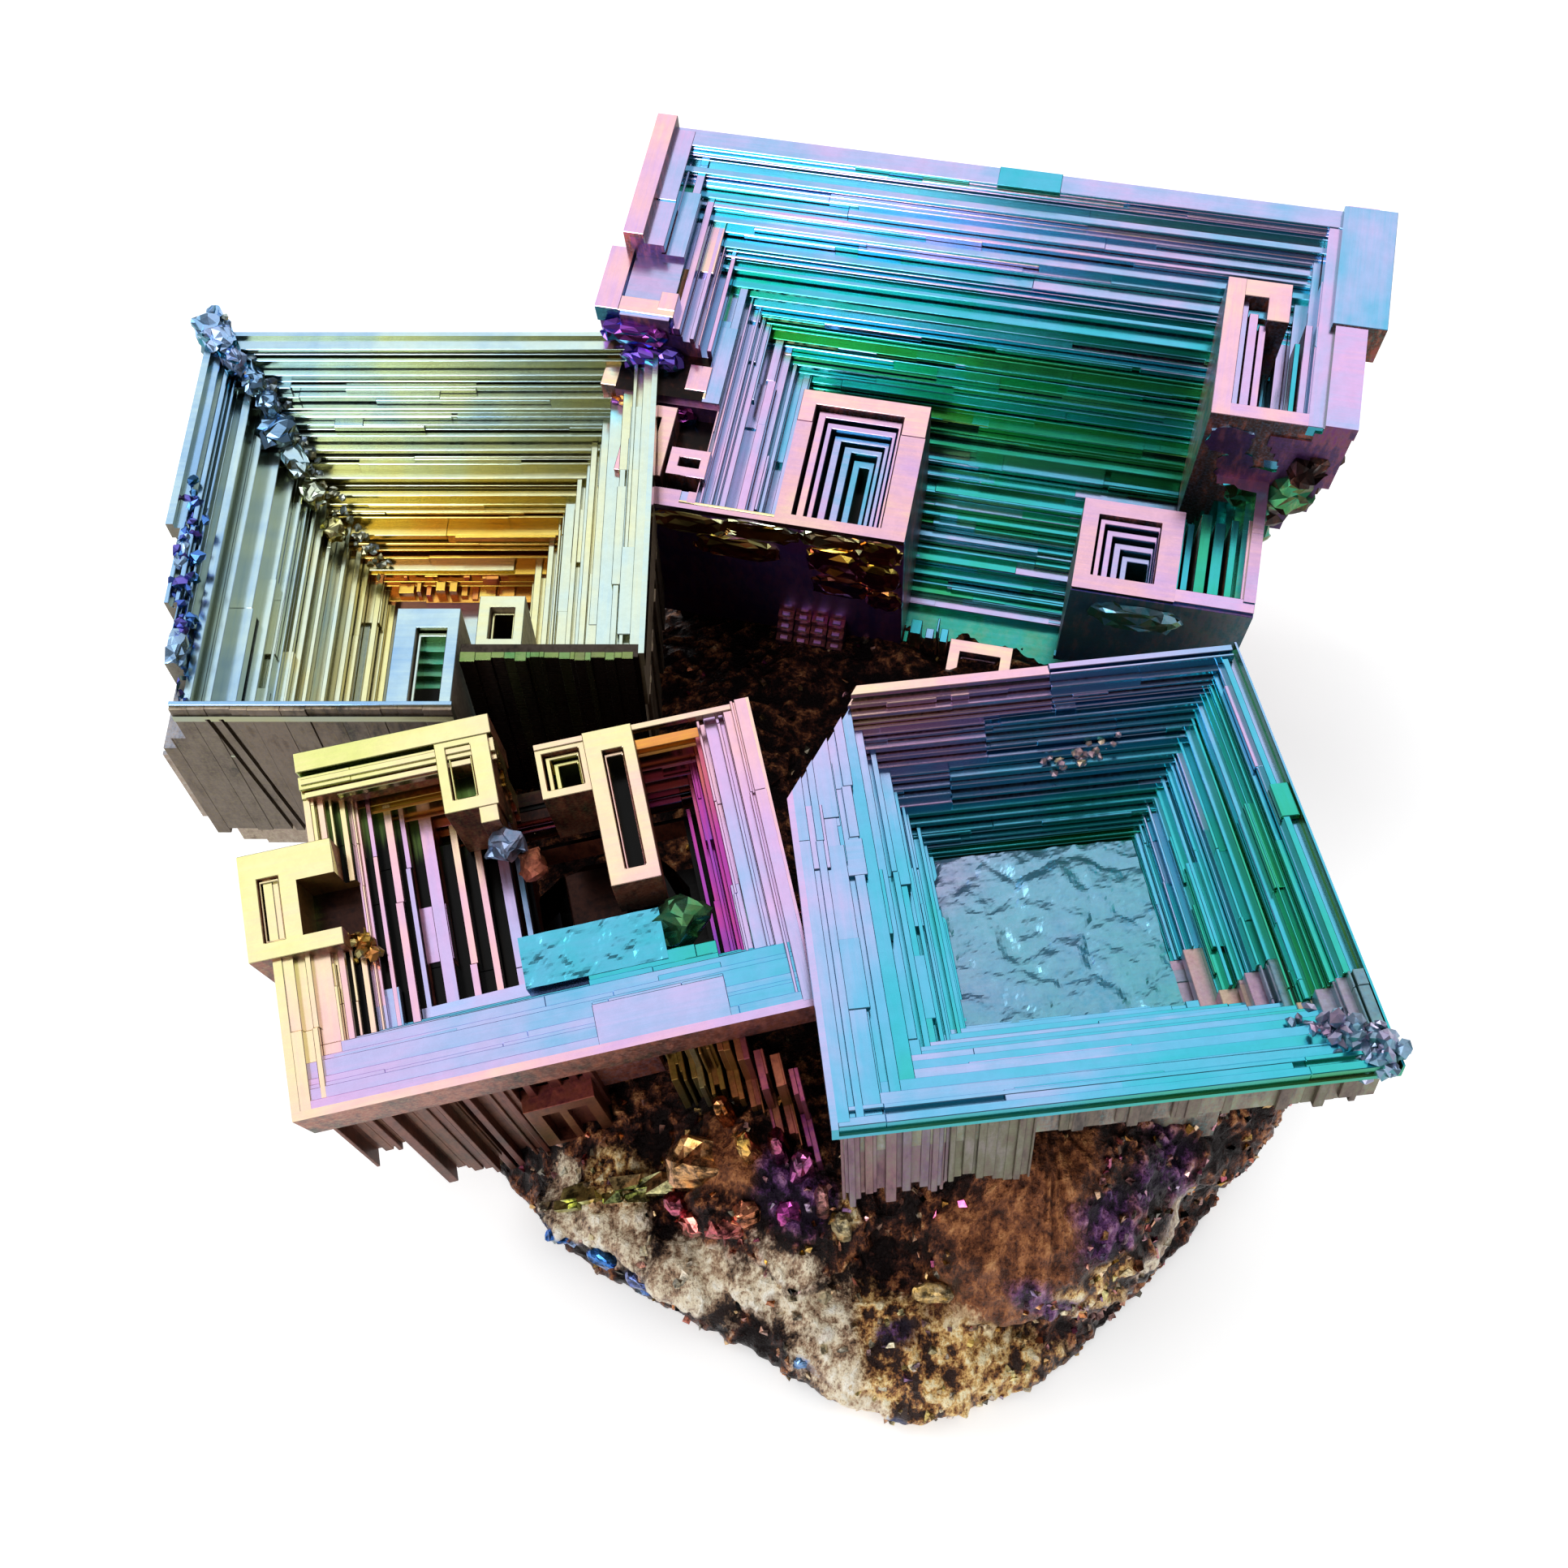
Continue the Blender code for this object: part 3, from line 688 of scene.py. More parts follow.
def violet_left_blocks(crystal):
    """The hooked frames at the left end and the rough violet rock under them."""
    for part in (
        (-23.8, -22.4, -0.1, 4.2, -2.6, -1.3, 0.93), (-22.4, -21.9, 0.3, 4.0, -2.6, -1.7, 0.97),
        (-21.4, -20.7, 1.0, 4.0, -2.6, -1.8, 0.95), (-20.3, -19.6, 1.3, 4.0, -2.6, -2.0, 1.0),
        (-23.7, -19.2, -0.1, 0.9, -2.4, -1.35, 0.9), (-20.2, -19.2, 0.3, 1.5, -2.4, -1.3, 0.92),
        (-23.7, -19.2, 0.0, 4.1, -4.5, -2.4, 0.25, 0.4),
    ):
        crystal.bar(*part)
    crystal.boulder((-21.6, -0.3, -3.0), (1.9, 0.6, 0.8), 0.38, 0.0, lump=0.6)
    crystal.boulder((-20.6, -0.9, -4.3), (1.9, 0.8, 0.6), 0.42, 0.1, lump=0.6)
    crystal.bar(-23.2, -17.0, -3.0, -2.0, -6.4, -4.5, 0.87)
    crystal.bar(-23.2, -22.3, -2.9, 0.2, -6.4, -4.55, 0.88)
    crystal.bar(-18.3, -17.0, -2.6, -0.9, -6.0, -4.4, 0.92)
    crystal.boulder((-21.0, -3.0, -5.8), (1.8, 0.4, 0.7), 0.22, 0.2, lump=0.6)
    crystal.boulder((-18.6, -3.4, -6.2), (1.2, 0.5, 1.0), 0.36, 0.0, lump=0.6)
    crystal.ring((-21.1, -18.4, -8.4, -3.8), (-20.3, -19.2, -7.6, -4.6), -8.0, -4.6, 0.9)
    crystal.ring((-18.2, -15.9, -8.1, -6.3), (-17.6, -16.4, -7.5, -6.9), -8.0, -4.7, 0.93)


def violet_right_rock(crystal):
    """The dark broken lumps under the right end."""
    for middle, half, film in (
        ((17.0, -1.5, -4.0), (1.2, 1.0, 1.2), BLACK_AND_SHADE), ((16.9, -0.6, -5.6), (1.2, 1.4, 1.3), 1.36),
        ((16.4, -1.8, -6.6), (1.2, 1.0, 1.5), 1.28), ((15.8, -1.2, -8.4), (1.2, 1.2, 1.6), BLACK_AND_SHADE),
        ((15.2, -2.0, -9.9), (1.0, 1.0, 1.3), 1.24), ((17.5, 2.2, -5.6), (0.9, 1.8, 1.0), BLACK_AND_SHADE),
        ((16.5, 2.6, -8.0), (0.8, 1.8, 1.0), 1.36),
    ):
        crystal.boulder(middle, half, film, 0.4, (0, 20, 30), 0.7)


def violet_slot(crystal):
    """The frame round a deep slot, at the right of the well."""
    foot = -11.5
    for part in (
        (10.8, 11.8, -2.0, 7.0, foot, -0.4, 0.92), (10.8, 14.3, 5.9, 7.0, foot, -0.42, 0.91),
        (13.1, 14.3, 4.4, 6.2, foot, -0.38, 0.92), (11.8, 12.15, -1.3, 5.9, foot, -0.9, 1.0),
        (12.2, 12.7, -1.3, 5.0, foot, -0.75, 0.97), (12.8, 13.2, -1.3, 4.4, foot, -0.9, 0.96),
        (11.9, 13.2, 5.0, 5.5, foot, -1.1, 1.08), (12.6, 13.2, 4.4, 4.9, foot, -1.4, 1.12),
        (14.9, 15.2, -1.3, 4.0, foot, -1.5, 1.15), (15.3, 15.7, -1.3, 5.0, foot, -1.1, 0.98),
        (15.8, 17.1, -1.3, 7.6, foot, -0.55, 0.97), (17.2, 18.3, -1.9, 8.0, foot, -0.35, 0.93),
        (10.8, 18.3, -2.0, -1.2, foot, -0.4, 0.94), (10.9, 18.2, -1.9, 6.9, foot, -6.0, 0.3, 0.3),
    ):
        crystal.bar(*part)
    crystal.boulder((17.3, 0.3, -0.9), (0.4, 0.9, 0.5), 1.2, 0.3, detail=2)
    for arc in range(5):
        out = 0.35 * arc
        crystal.bar(14.2 + 0.3 * arc, 18.0 - out, -2.2, -1.6, -2.6 - 0.55 * arc, -1.6 - 0.5 * arc, 0.3, 0.9)
    for part in (
        ((12.2, -2.1, -2.6), (1.2, 0.5, 1.2), 1.05, 0.1), ((12.9, -2.2, -4.9), (1.0, 0.6, 1.3), 1.16, 0.0),
        ((14.6, -2.3, -6.5), (1.7, 0.6, 1.7), 1.27, 0.1),
    ):
        crystal.boulder(*part, lump=0.6)


def violet_front(crystal):
    """The rough rock and studs on the faces under the front rim."""
    crystal.bar(-20.2, -4.2, -9.9, -9.4, -18.0, -5.3, 0.27, 0.5)
    for x, z, wide, tall, film in (
        (-16.6, -6.6, 2.6, 1.0, 0.1), (-12.4, -6.3, 2.4, 1.0, 0.09), (-8.3, -6.2, 2.0, 0.9, 0.12),
        (-5.6, -6.9, 1.4, 1.3, 0.17), (-8.0, -8.6, 1.9, 1.7, 0.21), (-5.8, -9.6, 1.5, 1.5, 0.19),
        (-7.8, -11.4, 1.8, 1.2, 0.25), (-5.3, -12.2, 1.1, 1.2, 0.22), (-14.0, -8.6, 2.6, 1.2, 0.13),
    ):
        crystal.boulder((x, -9.8, z), (wide, 0.3, tall), film, 0.0, lump=0.9)
    for column in range(4):
        x = -11.8 + 1.05 * column
        for step in range(7):
            front, top = -9.9 - 0.5 * step, -14.9 - 0.6 * step - 0.15 * (column % 2)
            crystal.bar(x, x + 1.0, front, -9.4, -20.0, top, 0.3, 0.9)
            crystal.bar(x + 0.25, x + 0.75, front + 0.08, front + 0.38, top - 0.2, top + 0.1, 0.93, 0.02)
    crystal.bar(5.1, 15.2, -10.55, -10.2, -15.0, -6.3, 0.45, 0.6)
    crystal.boulder((9.0, -10.5, -8.2), (2.6, 0.4, 1.2), 1.1, 0.45, lump=0.8)


def rose_hopper(material):
    """The pink hopper at the front left, with spirals round a pit painted black as shade."""
    rim = (-11.9, 12.1, -7.9, 8.4)
    steps = (
        (-3.6, 0.9, 0.9, 0.9, 0.9),
        (-7.0, 2.0, 1.6, 1.4, 1.8),
        (-9.0, 3.2, 2.6, 2.0, 3.0),
        (-12.0, 4.8, 4.0, 3.0, 4.6),
    )
    crystal = Crystal("rose_hopper", ROSE_AT, ROSE_TILT, rim, steps, foot=-16.0, seed=33, skin_film=0.88,
                      riser_film=-0.04, riser_painted_shade=0.35)
    crystal.group("DIFFERENCE")
    well = hollow((-11.0, 11.4, -7.0, 7.9), (-1.0, 8.2, -2.8, 5.5), depth=9.0, levels=12)
    # The faces that the hollow and the pit leave are painted black as shade.
    crystal.add(well, BLACK_AND_SHADE, 0.0)
    crystal.add(block(-0.6, 7.8, -1.4, 5.2, -13.5, OVER), BLACK_AND_SHADE, 0.0)
    crystal.group("UNION")
    wide, long = crystal.wide, crystal.long
    crystal.stairs(BACK, ((7.9, 0.0), (7.2, 0.5)), 2, wide, (0.89, 0.9, 0.01), slots=1.0)
    crystal.stairs(BACK, ((7.0, 1.6), (5.5, 9.0)), 6, wide, (0.27, 0.32, 0.03))
    crystal.stairs(LEFT, ((-11.0, 0.0), (-8.5, 1.2)), 4, long, (0.88, 0.93, 0.03), lips=0.8, groove=0.8)
    crystal.stairs(LEFT, ((-8.5, 1.2), (-0.8, 8.0)), 11, long, (0.93, 0.98, 0.05), lips=1.0, slots=1.0,
                   spread=0.85, groove=3.0, deep=0.9)
    crystal.stairs(RIGHT, ((11.4, 0.0), (9.4, 2.0)), 5, long, (0.9, 0.95, 0.03), lips=0.8, groove=1.0)
    crystal.stairs(RIGHT, ((9.4, 2.0), (8.0, 9.0)), 5, long, (0.28, 0.32, 0.03), lips=0.8, groove=1.5)
    crystal.stairs(FRONT, ((-7.6, 0.0), (-4.6, 0.6)), 7, wide, (0.96, 1.02, 0.01), lips=0.0, slots=0.0,
                   extras=0.5)
    crystal.stairs(FRONT, ((-4.6, 0.7), (-2.8, 8.0)), 8, wide, (1.04, 1.1, 0.03))
    crystal.stairs(FRONT, ((-6.2, -0.1), (-3.6, 1.4)), 5, (2.0, long[1]), (0.98, 1.08, 0.04), slots=1.0)
    crystal.bar(-9.7, -0.3, 8.4, 9.4, -5.0, 0.2, 0.89)
    crystal.bar(-9.6, -0.5, 7.8, 8.1, -5.0, 0.0, 0.9)
    crystal.bar(-9.5, -0.6, 7.2, 7.5, -2.0, -0.25, 0.9)
    crystal.spiral(-3.1, -0.5, 4.8, 9.4, top=0.12, foot=-6.0, widths=(0.5, 0.9, 0.6, 1.3), turns=2,
                   pitches=(0.12, 0.12, 0.12, 0.12), drop=0.35, film=(0.88, 0.86))
    crystal.bar(-1.5, -0.6, 4.0, 5.2, -3.0, 0.05, 0.88)
    crystal.spiral(3.9, 6.3, -0.4, 7.4, top=0.12, foot=-4.5, widths=(0.8, 0.6, 0.7, 1.1), turns=2,
                   pitches=(0.15, 0.1, 0.1, 0.3), drop=0.3, film=(0.87, 0.9))
    crystal.spiral(-12.9, -8.5, -0.4, 4.8, top=0.32, foot=-6.0, widths=(0.8, 2.6, 0.8, 1.3), turns=2,
                   pitches=(0.15, 0.1, 0.15, 0.15), drop=0.3, film=(0.88, 0.9))
    crystal.spiral(1.4, 4.1, 4.7, 7.5, top=-0.5, foot=-6.5, widths=(0.4, 0.5, 0.4, 0.5), turns=3,
                   pitches=(0.3, 0.1, 0.1, 0.3), drop=0.5, film=(0.88, 0.84))
    crystal.rough(-0.9, 5.8, -4.0, -1.5, -7.0, -1.15, height=0.12, film=1.08, tarnish=0.05)
    crystal.boulder((6.4, -2.0, -2.6), (1.4, 1.0, 1.4), 1.22, 0.3, (0, 40, 20), 0.6)
    crystal.boulder((-0.7, 3.2, -1.5), (0.8, 0.7, 0.7), 0.02, 0.5, (0, 20, 40), 0.6)
    crystal.boulder((0.3, 2.2, -2.2), (0.6, 0.8, 0.6), 0.27, 0.9, (0, 20, 10), 0.6)
    # A black lump fills the bottom of the pit: painted shade.
    crystal.boulder((3.2, 1.6, -12.0), (4.0, 3.0, 1.6), BLACK_AND_SHADE, 0.0)
    crystal.rubble(((-0.2, 8.2, -1.5), (0.6, 6.5, -2.5), (0.6, 4.6, -3.0)), count=60, size=0.35,
                   spread=0.35, film=0.2, tarnish=0.3)
    crystal.rubble(((-9.6, 3.4, -1.6), (-8.4, 0.6, -1.4), (-7.9, -0.4, -1.4)), count=60, size=0.3,
                   spread=0.3, film=0.2, tarnish=0.4)
    crystal.curtain(FRONT, (-10.8, 11.0), rim[2] + 0.9, -3.7, -6.8, 0.7, 0.5, 0.9, 1.0, 0.2)
    crystal.curtain(LEFT, (-6.5, 7.0), rim[0] + 0.9, -3.7, -6.8, 0.7, 0.5, 0.9, 1.0, 0.2)
    crystal.group("DIFFERENCE")
    # The floors of these cuts are painted black as shade.
    for limits in (
        (-0.3, 1.5, 4.0, FAR, -6.5, OVER),
        (1.0, 3.9, -1.3, 4.6, -11.0, OVER),
        (1.4, FAR, 7.5, FAR, -FAR, OVER),
        (-FAR, -9.7, 4.8, FAR, -FAR, OVER),
        (-10.3, -7.9, 0.4, 3.1, -2.5, OVER),
    ):
        crystal.cut(limits, 0.25, BLACK_AND_SHADE)
    return crystal.finish(material)


# The apron's blocks of columns, in its own frame: x0, x1, y0, y1, foot, top.
APRON_COLUMNS = (
    (0.2, 3.0, 0.5, 3.2, -8.5, -0.5),
    (2.7, 5.8, 0.1, 3.4, -13.0, -0.4),
    (5.5, 8.6, 0.4, 4.2, -15.5, -0.5),
    (8.4, 12.4, 0.9, 4.0, -14.0, -0.6),
    (12.2, 16.0, 2.0, 5.5, -14.5, -1.2),
)
# Glossy columns between the apron and the next hopper, in the same frame: x0, x1, y0, y1, foot, film.
APRON_SHARDS = (
    (16.1, 16.9, 0.0, 2.5, -9.5, 0.1),
    (17.1, 17.7, -0.8, 2.5, -8.5, 0.07),
    (17.9, 18.6, -1.4, 2.0, -9.5, 0.12),
    (18.8, 19.4, -2.2, 1.5, -9.5, 0.15),
    (19.6, 20.2, -3.0, 1.0, -9.0, 0.18),
    (20.4, 20.9, -4.0, 0.0, -10.0, 0.2),
    (21.1, 21.6, -4.8, 0.0, -11.0, 0.16),
    (21.8, 22.3, -5.6, -1.0, -9.0, 0.22),
)


def rose_apron(material):
    """The columns that hang under the front rim of the rose hopper, and what is broken off them."""
    rim = (0.3, 15.6, 1.6, 4.6)
    crystal = Crystal("rose_apron", APRON_AT, APRON_TILT, rim, (), foot=-8.0, seed=55, skin_film=1.0,
                      riser_film=-0.02, riser_painted_shade=0.55)
    crystal.group("UNION")
    for x0, x1, y0, y1, z0, z1 in APRON_COLUMNS:
        crystal.bar(x0 + 0.2, x1 - 0.2, y0 + 1.3, y1, z0 + 0.4, z1, 0.25, 0.9)
        crystal.curtain(FRONT, (x0, x1), y0 + 1.1, z1, z0 + 0.3, 0.35, 0.7, 0.25, 0.9, 1.1)
    crystal.bar(8.6, 12.2, 0.2, 1.4, -11.0, -5.2, 0.22, 0.8)
    for x0, x1, y0, y1, z0, film in APRON_SHARDS:
        crystal.curtain(FRONT, (x0, x1), 0.5 * (y0 + y1), -1.6, z0, 0.25, 0.8, film, 0.7, 0.8, 1.2)
        crystal.curtain(FRONT, (x0, x1), y0 + 0.6, -4.6, z0, 0.25, 0.8, film, 0.7, 1.0, 1.6)
    crystal.group("DIFFERENCE")
    # This slot between the columns is painted black inside as shade.
    crystal.add(block(9.3, 10.2, -FAR, 0.9, -10.6, -6.2), BLACK_AND_SHADE, 0.6)
    crystal.add(block(10.6, 11.6, -FAR, 0.7, -10.6, -6.2), 0.26, 0.9)
    return crystal.finish(material)


def teal_hopper(material):
    """The blue-green hopper at the front right, with a rough floor and a broken back left corner."""
    rim = (-12.0, 11.7, -12.5, 12.5)
    steps = (
        (-0.8, 0.5, 0.5, 0.5, 0.5),
        (-3.0, 1.2, 1.8, 1.6, 1.8),
        (-5.0, 2.6, 3.2, 3.0, 3.2),
        (-7.5, 4.4, 4.8, 4.6, 4.8),
    )
    crystal = Crystal("teal_hopper", TEAL_AT, TEAL_TILT, rim, steps, foot=-13.0, seed=44, skin_film=1.04,
                      riser_film=0.08, riser_painted_shade=0.3)
    crystal.group("DIFFERENCE")
    well = hollow((-11.2, 11.1, -12.0, 12.0), (-4.0, 4.7, -3.3, 5.0), depth=8.0, levels=15)
    crystal.add(well, 1.2, 0.3)
    crystal.group("UNION")
    wide, long = crystal.wide, crystal.long
    for band, end in enumerate((2.0, -1.5, -3.5, -6.0, -8.0)):
        film = 1.04 + 0.035 * band
        part = [(edge, 8.0 * (12.0 - edge) / 7.0) for edge in (12.0 - 1.4 * band, 10.6 - 1.4 * band)]
        crystal.stairs(BACK, part, 5, (wide[0], end), (film - 0.05, film - 0.05, 0.02), lips=0.3, slots=0.8)
        crystal.stairs(BACK, part, 5, (end, wide[1]), (film, film, 0.03), lips=0.3, slots=0.8)
    crystal.stairs(LEFT, ((-11.2, 0.0), (-8.4, 0.8), (-4.0, 8.0)), 15, long, (1.1, 1.14, 0.03), lips=0.6)
    for inner, outer, end in ((9.0, 11.1, -7.6), (6.8, 9.0, -4.8), (4.7, 6.8, -1.8)):
        part = [(edge, 8.0 * (11.1 - edge) / 6.4) for edge in (outer, inner)]
        crystal.stairs(RIGHT, part, 9, (end, long[1]), (1.06, 1.12, 0.05), lips=0.7, slots=0.3)
        crystal.stairs(RIGHT, part, 5, (long[0], end), (0.95, 0.85, 0.08), tarnish=0.6, spread=0.8)
    crystal.stairs(FRONT, ((-12.0, 0.0), (-8.5, 1.6), (-3.3, 8.0)), 18, wide, (1.02, 1.08, 0.03), lips=0.3)
    crystal.rough(-5.0, 5.5, -4.5, 5.8, -9.0, -6.8, height=0.5, film=1.08, tarnish=0.35, scale=2.8)
    crystal.bar(-11.4, -3.6, rim[2] + 0.8, -9.0, -5.8, -2.2, 0.26, 0.9)
    for part in (
        (FRONT, (-11.6, -7.0), rim[2] + 0.55, -0.85, -6.9, 0.3, 0.6, 0.26, 0.85, 0.35),
        (FRONT, (-7.0, -3.4), rim[2] + 0.55, -0.85, -6.2, 0.3, 0.7, 1.3, 0.85, 0.35),
        (FRONT, (-3.4, 11.0), rim[2] + 0.55, -0.85, -2.9, 0.4, 0.3, 1.3, 0.9, 0.3),
        (RIGHT, (-11.0, 11.5), rim[1] - 0.45, -0.85, -2.9, 0.5, 0.3, 1.3, 1.0),
        (LEFT, (-11.5, 6.5), rim[0] + 0.45, -0.85, -2.9, 0.5, 0.3, 1.3, 1.0),
        (BACK, (-7.0, 11.0), rim[3] - 0.45, -0.85, -2.9, 0.5, 0.3, 1.3, 1.0),
    ):
        crystal.curtain(*part)
    crystal.rubble(((9.0, -9.4, -1.4), (10.2, -10.8, -0.5), (11.2, -11.8, -0.1)), count=160, size=0.38,
                   spread=0.4, film=0.92, tarnish=0.45)
    crystal.rubble(((1.5, 8.5, -3.6), (5.0, 9.5, -3.2)), count=30, size=0.25, spread=0.25, film=0.95,
                   tarnish=0.7)
    crystal.group("DIFFERENCE")
    place = Matrix.Translation(CHAMFER_AT) @ Matrix.Rotation(radians(CHAMFER_TURN), 4, "Z")
    chamfer = block(-FAR, 0.0, -FAR, FAR, -FAR, OVER)
    bmesh.ops.transform(chamfer, matrix=place, verts=chamfer.verts)
    crystal.add(chamfer, 0.1, 0.9)
    return crystal.finish(material)


# ---------------------------------------------------------------- the crust

# The crust's outline, and its rings: (height, share of the outline). All of the crust is in the frame's
# own millimetres.
CRUST_OUTLINE = (
    (6.6, -33.95), (10.8, -32.9), (17.0, -28.9), (22.4, -23.5), (26.9, -16.0), (26.9, -4.0), (24.9, 9.0),
    (17.9, 21.0), (3.9, 24.0), (-14.1, 19.0), (-23.1, 11.0), (-24.1, -1.0), (-20.1, -13.0), (-14.1, -22.8),
    (-2.9, -29.2),
)
CRUST_MIDDLE = (2.9, -5.0)
CRUST_RINGS = ((0.0, 0.98), (1.2, 1.0), (3.5, 0.97), (6.0, 0.88), (8.0, 0.74), (9.5, 0.52), (10.0, 0.26))
CRUST_SIDES = 56
CRUST_ROOM = 0.985    # the outline is drawn in by this, so that its bumps stay within the solid's
# Large lumps: middles and half sizes.
LUMPS = (
    ((12.0, -22.5, 7.0), (8.0, 7.5, 10.0)),
    ((19.0, -16.5, 8.5), (7.3, 7.8, 8.5)),
    ((1.0, -21.0, 6.5), (7.0, 7.0, 7.5)),
    ((-8.0, -14.0, 5.0), (8.5, 8.5, 5.5)),
    ((-4.0, 2.0, 4.0), (9.0, 7.0, 7.5)),
)
# Smaller knobs: the pale ridge, the dark red lumps behind it, and the crest under the apron.
KNOBS = (
    ((-11.5, -22.9, 3.0), (2.2, 1.6, 1.6)),
    ((-8.7, -24.0, 4.0), (2.6, 1.7, 2.0)),
    ((-4.8, -26.0, 3.8), (2.8, 1.9, 2.0)),
    ((-1.8, -27.2, 5.2), (1.6, 1.5, 1.8)),
    ((-7.2, -25.1, 4.6), (2.2, 1.5, 1.5)),
    ((-0.6, -27.3, 7.8), (0.9, 1.0, 1.2)),
    ((0.3, -27.9, 6.2), (0.9, 0.9, 1.6)),
    ((1.6, -27.9, 7.2), (0.9, 0.9, 1.0)),
    ((1.4, -28.7, 4.6), (1.3, 1.2, 1.3)),
    ((-7.6, -23.6, 6.0), (1.1, 0.8, 0.7)),
    ((-3.2, -25.0, 8.6), (1.8, 1.4, 2.0)),
    ((2.7, -25.6, 10.4), (0.8, 0.8, 1.4)),
    ((-8.7, -22.6, 6.0), (2.8, 1.0, 0.9)),
)
# Patches of the crust: middles and radii.
ZONES = {
    "pale": (
        ((-11.5, -23.0, 4.0), 2.0), ((-8.7, -24.8, 4.6), 2.6), ((-4.5, -26.8, 4.5), 2.8),
        ((-1.8, -28.0, 5.5), 2.2),
        ((-0.3, -27.8, 8.2), 1.8), ((1.6, -28.6, 5.6), 2.2), ((2.0, -31.0, 3.5), 2.4),
        ((19.2, -25.6, 7.4), 2.6),
        ((4.0, -32.4, 1.5), 1.8),
    ),
    "golden": (
        ((5.0, -32.0, 2.5), 3.6), ((8.5, -31.8, 3.5), 4.2), ((7.0, -33.2, 1.0), 3.6),
        ((15.2, -29.1, 8.5), 2.2),
        ((5.0, -30.0, 6.0), 2.4), ((12.0, -31.5, 2.5), 2.6),
        ((-8.7, -23.0, 6.6), 2.2), ((2.7, -26.0, 11.0), 1.2),
    ),
    "violet": (
        ((17.6, -24.2, 12.4), 2.6), ((15.5, -27.0, 11.5), 1.6), ((13.2, -29.4, 8.0), 1.6),
        ((5.7, -30.7, 5.4), 1.2),
        ((18.0, -24.0, 9.5), 2.4), ((0.0, -25.5, 12.0), 2.2), ((14.6, -27.2, 12.6), 2.0),
        ((12.2, -29.4, 9.6), 1.5),
    ),
    "blue": (
        ((-12.2, -24.0, 2.4), 0.9), ((-9.6, -25.6, 3.0), 0.8), ((-7.5, -26.6, 2.4), 0.8),
        ((1.0, -30.9, 3.0), 0.8),
        ((5.5, -33.6, 0.8), 0.9),
    ),
    "smooth": (
        ((11.0, -28.5, 12.5), 4.2), ((9.0, -29.5, 7.5), 3.2), ((12.0, -26.0, 15.5), 3.0),
        ((-3.5, -23.8, 11.5), 2.0),
    ),
}
# What crumbs there are in a patch: films, tarnishes and size.
CRUMB_KINDS = {
    "pale": ((0.1, 0.14, 0.2), (0.9, 1.0, 0.8), 0.26),
    "golden": ((0.14, 0.17, 0.2, 0.24, 0.38), (0.3, 0.6, 0.9), 0.22),
    "violet": ((0.3, 0.36, 0.4, 0.24), (0.3, 0.5), 0.2),
    "blue": ((0.47, 0.5, 0.02), (0.0, 0.3), 0.25),
    "brown": ((0.21, 0.25, 0.27, 0.3, BLACK_AND_SHADE), (0.0, 0.3, 0.5), 0.2),
}
CRUMB_SHARES = {"pale": 0.12, "golden": 0.35, "violet": 0.4, "blue": 0.8, "brown": 0.3}
CRUMBS_EACH_MM2, CRUMBS_BEHIND = 2.5, 0.4
CRUMBS_FRONT = -18.0  # the crust is finer in front of this
# Rocks on the crust: middle, half sizes, turn, film, tarnish.
ROCKS = (
    ((-3.9, -23.2, 10.4), (1.9, 1.1, 1.7), (0, 10, 0), 0.23, 0.25),
    ((-4.2, -25.2, 8.2), (1.1, 0.7, 0.9), (0, 0, 20), 0.27, 0.0),
    ((-3.0, -25.7, 9.0), (1.0, 0.7, 0.8), (10, 0, 0), 0.28, 0.0),
    ((-2.0, -25.4, 10.0), (0.8, 0.7, 0.8), (0, 20, 0), 0.26, 0.0),
    ((-5.2, -24.4, 8.4), (0.8, 0.6, 0.6), (0, 20, 0), 0.29, 0.0),
    ((-1.4, -23.4, 11.6), (0.5, 0.6, 3.2), (0, -14, 10), 0.21, 0.1),
    ((-2.6, -21.6, 11.8), (0.5, 0.6, 3.0), (0, -14, 10), 0.24, 0.0),
    ((-0.2, -23.6, 12.0), (0.5, 0.6, 3.4), (0, -6, 10), 0.31, 0.0),
    ((0.8, -24.4, 11.2), (0.6, 0.6, 3.6), (0, 0, 10), 0.34, 0.1),
    ((0.2, -25.8, 9.6), (0.7, 0.6, 2.2), (0, 0, 10), 0.33, 0.0),
    ((1.7, -25.6, 10.4), (0.35, 0.5, 3.0), (0, 0, 10), 0.3, 0.3),
    ((2.7, -26.2, 9.6), (0.5, 0.5, 1.5), (0, 0, 0), 0.17, 0.7),
    ((7.2, -28.8, 8.0), (1.1, 0.4, 0.6), (0, 0, 0), 0.2, 0.6),
    ((8.8, -28.9, 8.0), (0.15, 0.3, 1.2), (0, 12, 0), 0.1, 1.0),
    ((-12.0, -24.0, 2.6), (0.7, 0.4, 0.4), (0, 20, 0), 0.48, 0.0),
    ((-9.6, -25.4, 3.2), (0.8, 0.4, 0.5), (0, 20, -20), 0.49, 0.0),
    ((-7.6, -26.4, 2.7), (0.8, 0.4, 0.5), (0, 20, -20), 0.47, 0.2),
    ((0.9, -30.6, 3.2), (0.6, 0.4, 0.6), (0, 30, 0), 0.52, 0.2),
)
# The yellow-green crest: the two ends of its broken edge.
CREST = ((-11.4, -23.3, 5.2), (-6.2, -23.5, 7.4))
CREST_SHARDS = 9
FAN_APEX = (12.0, -24.4, 17.2)
CRUST_VOXEL = 0.45


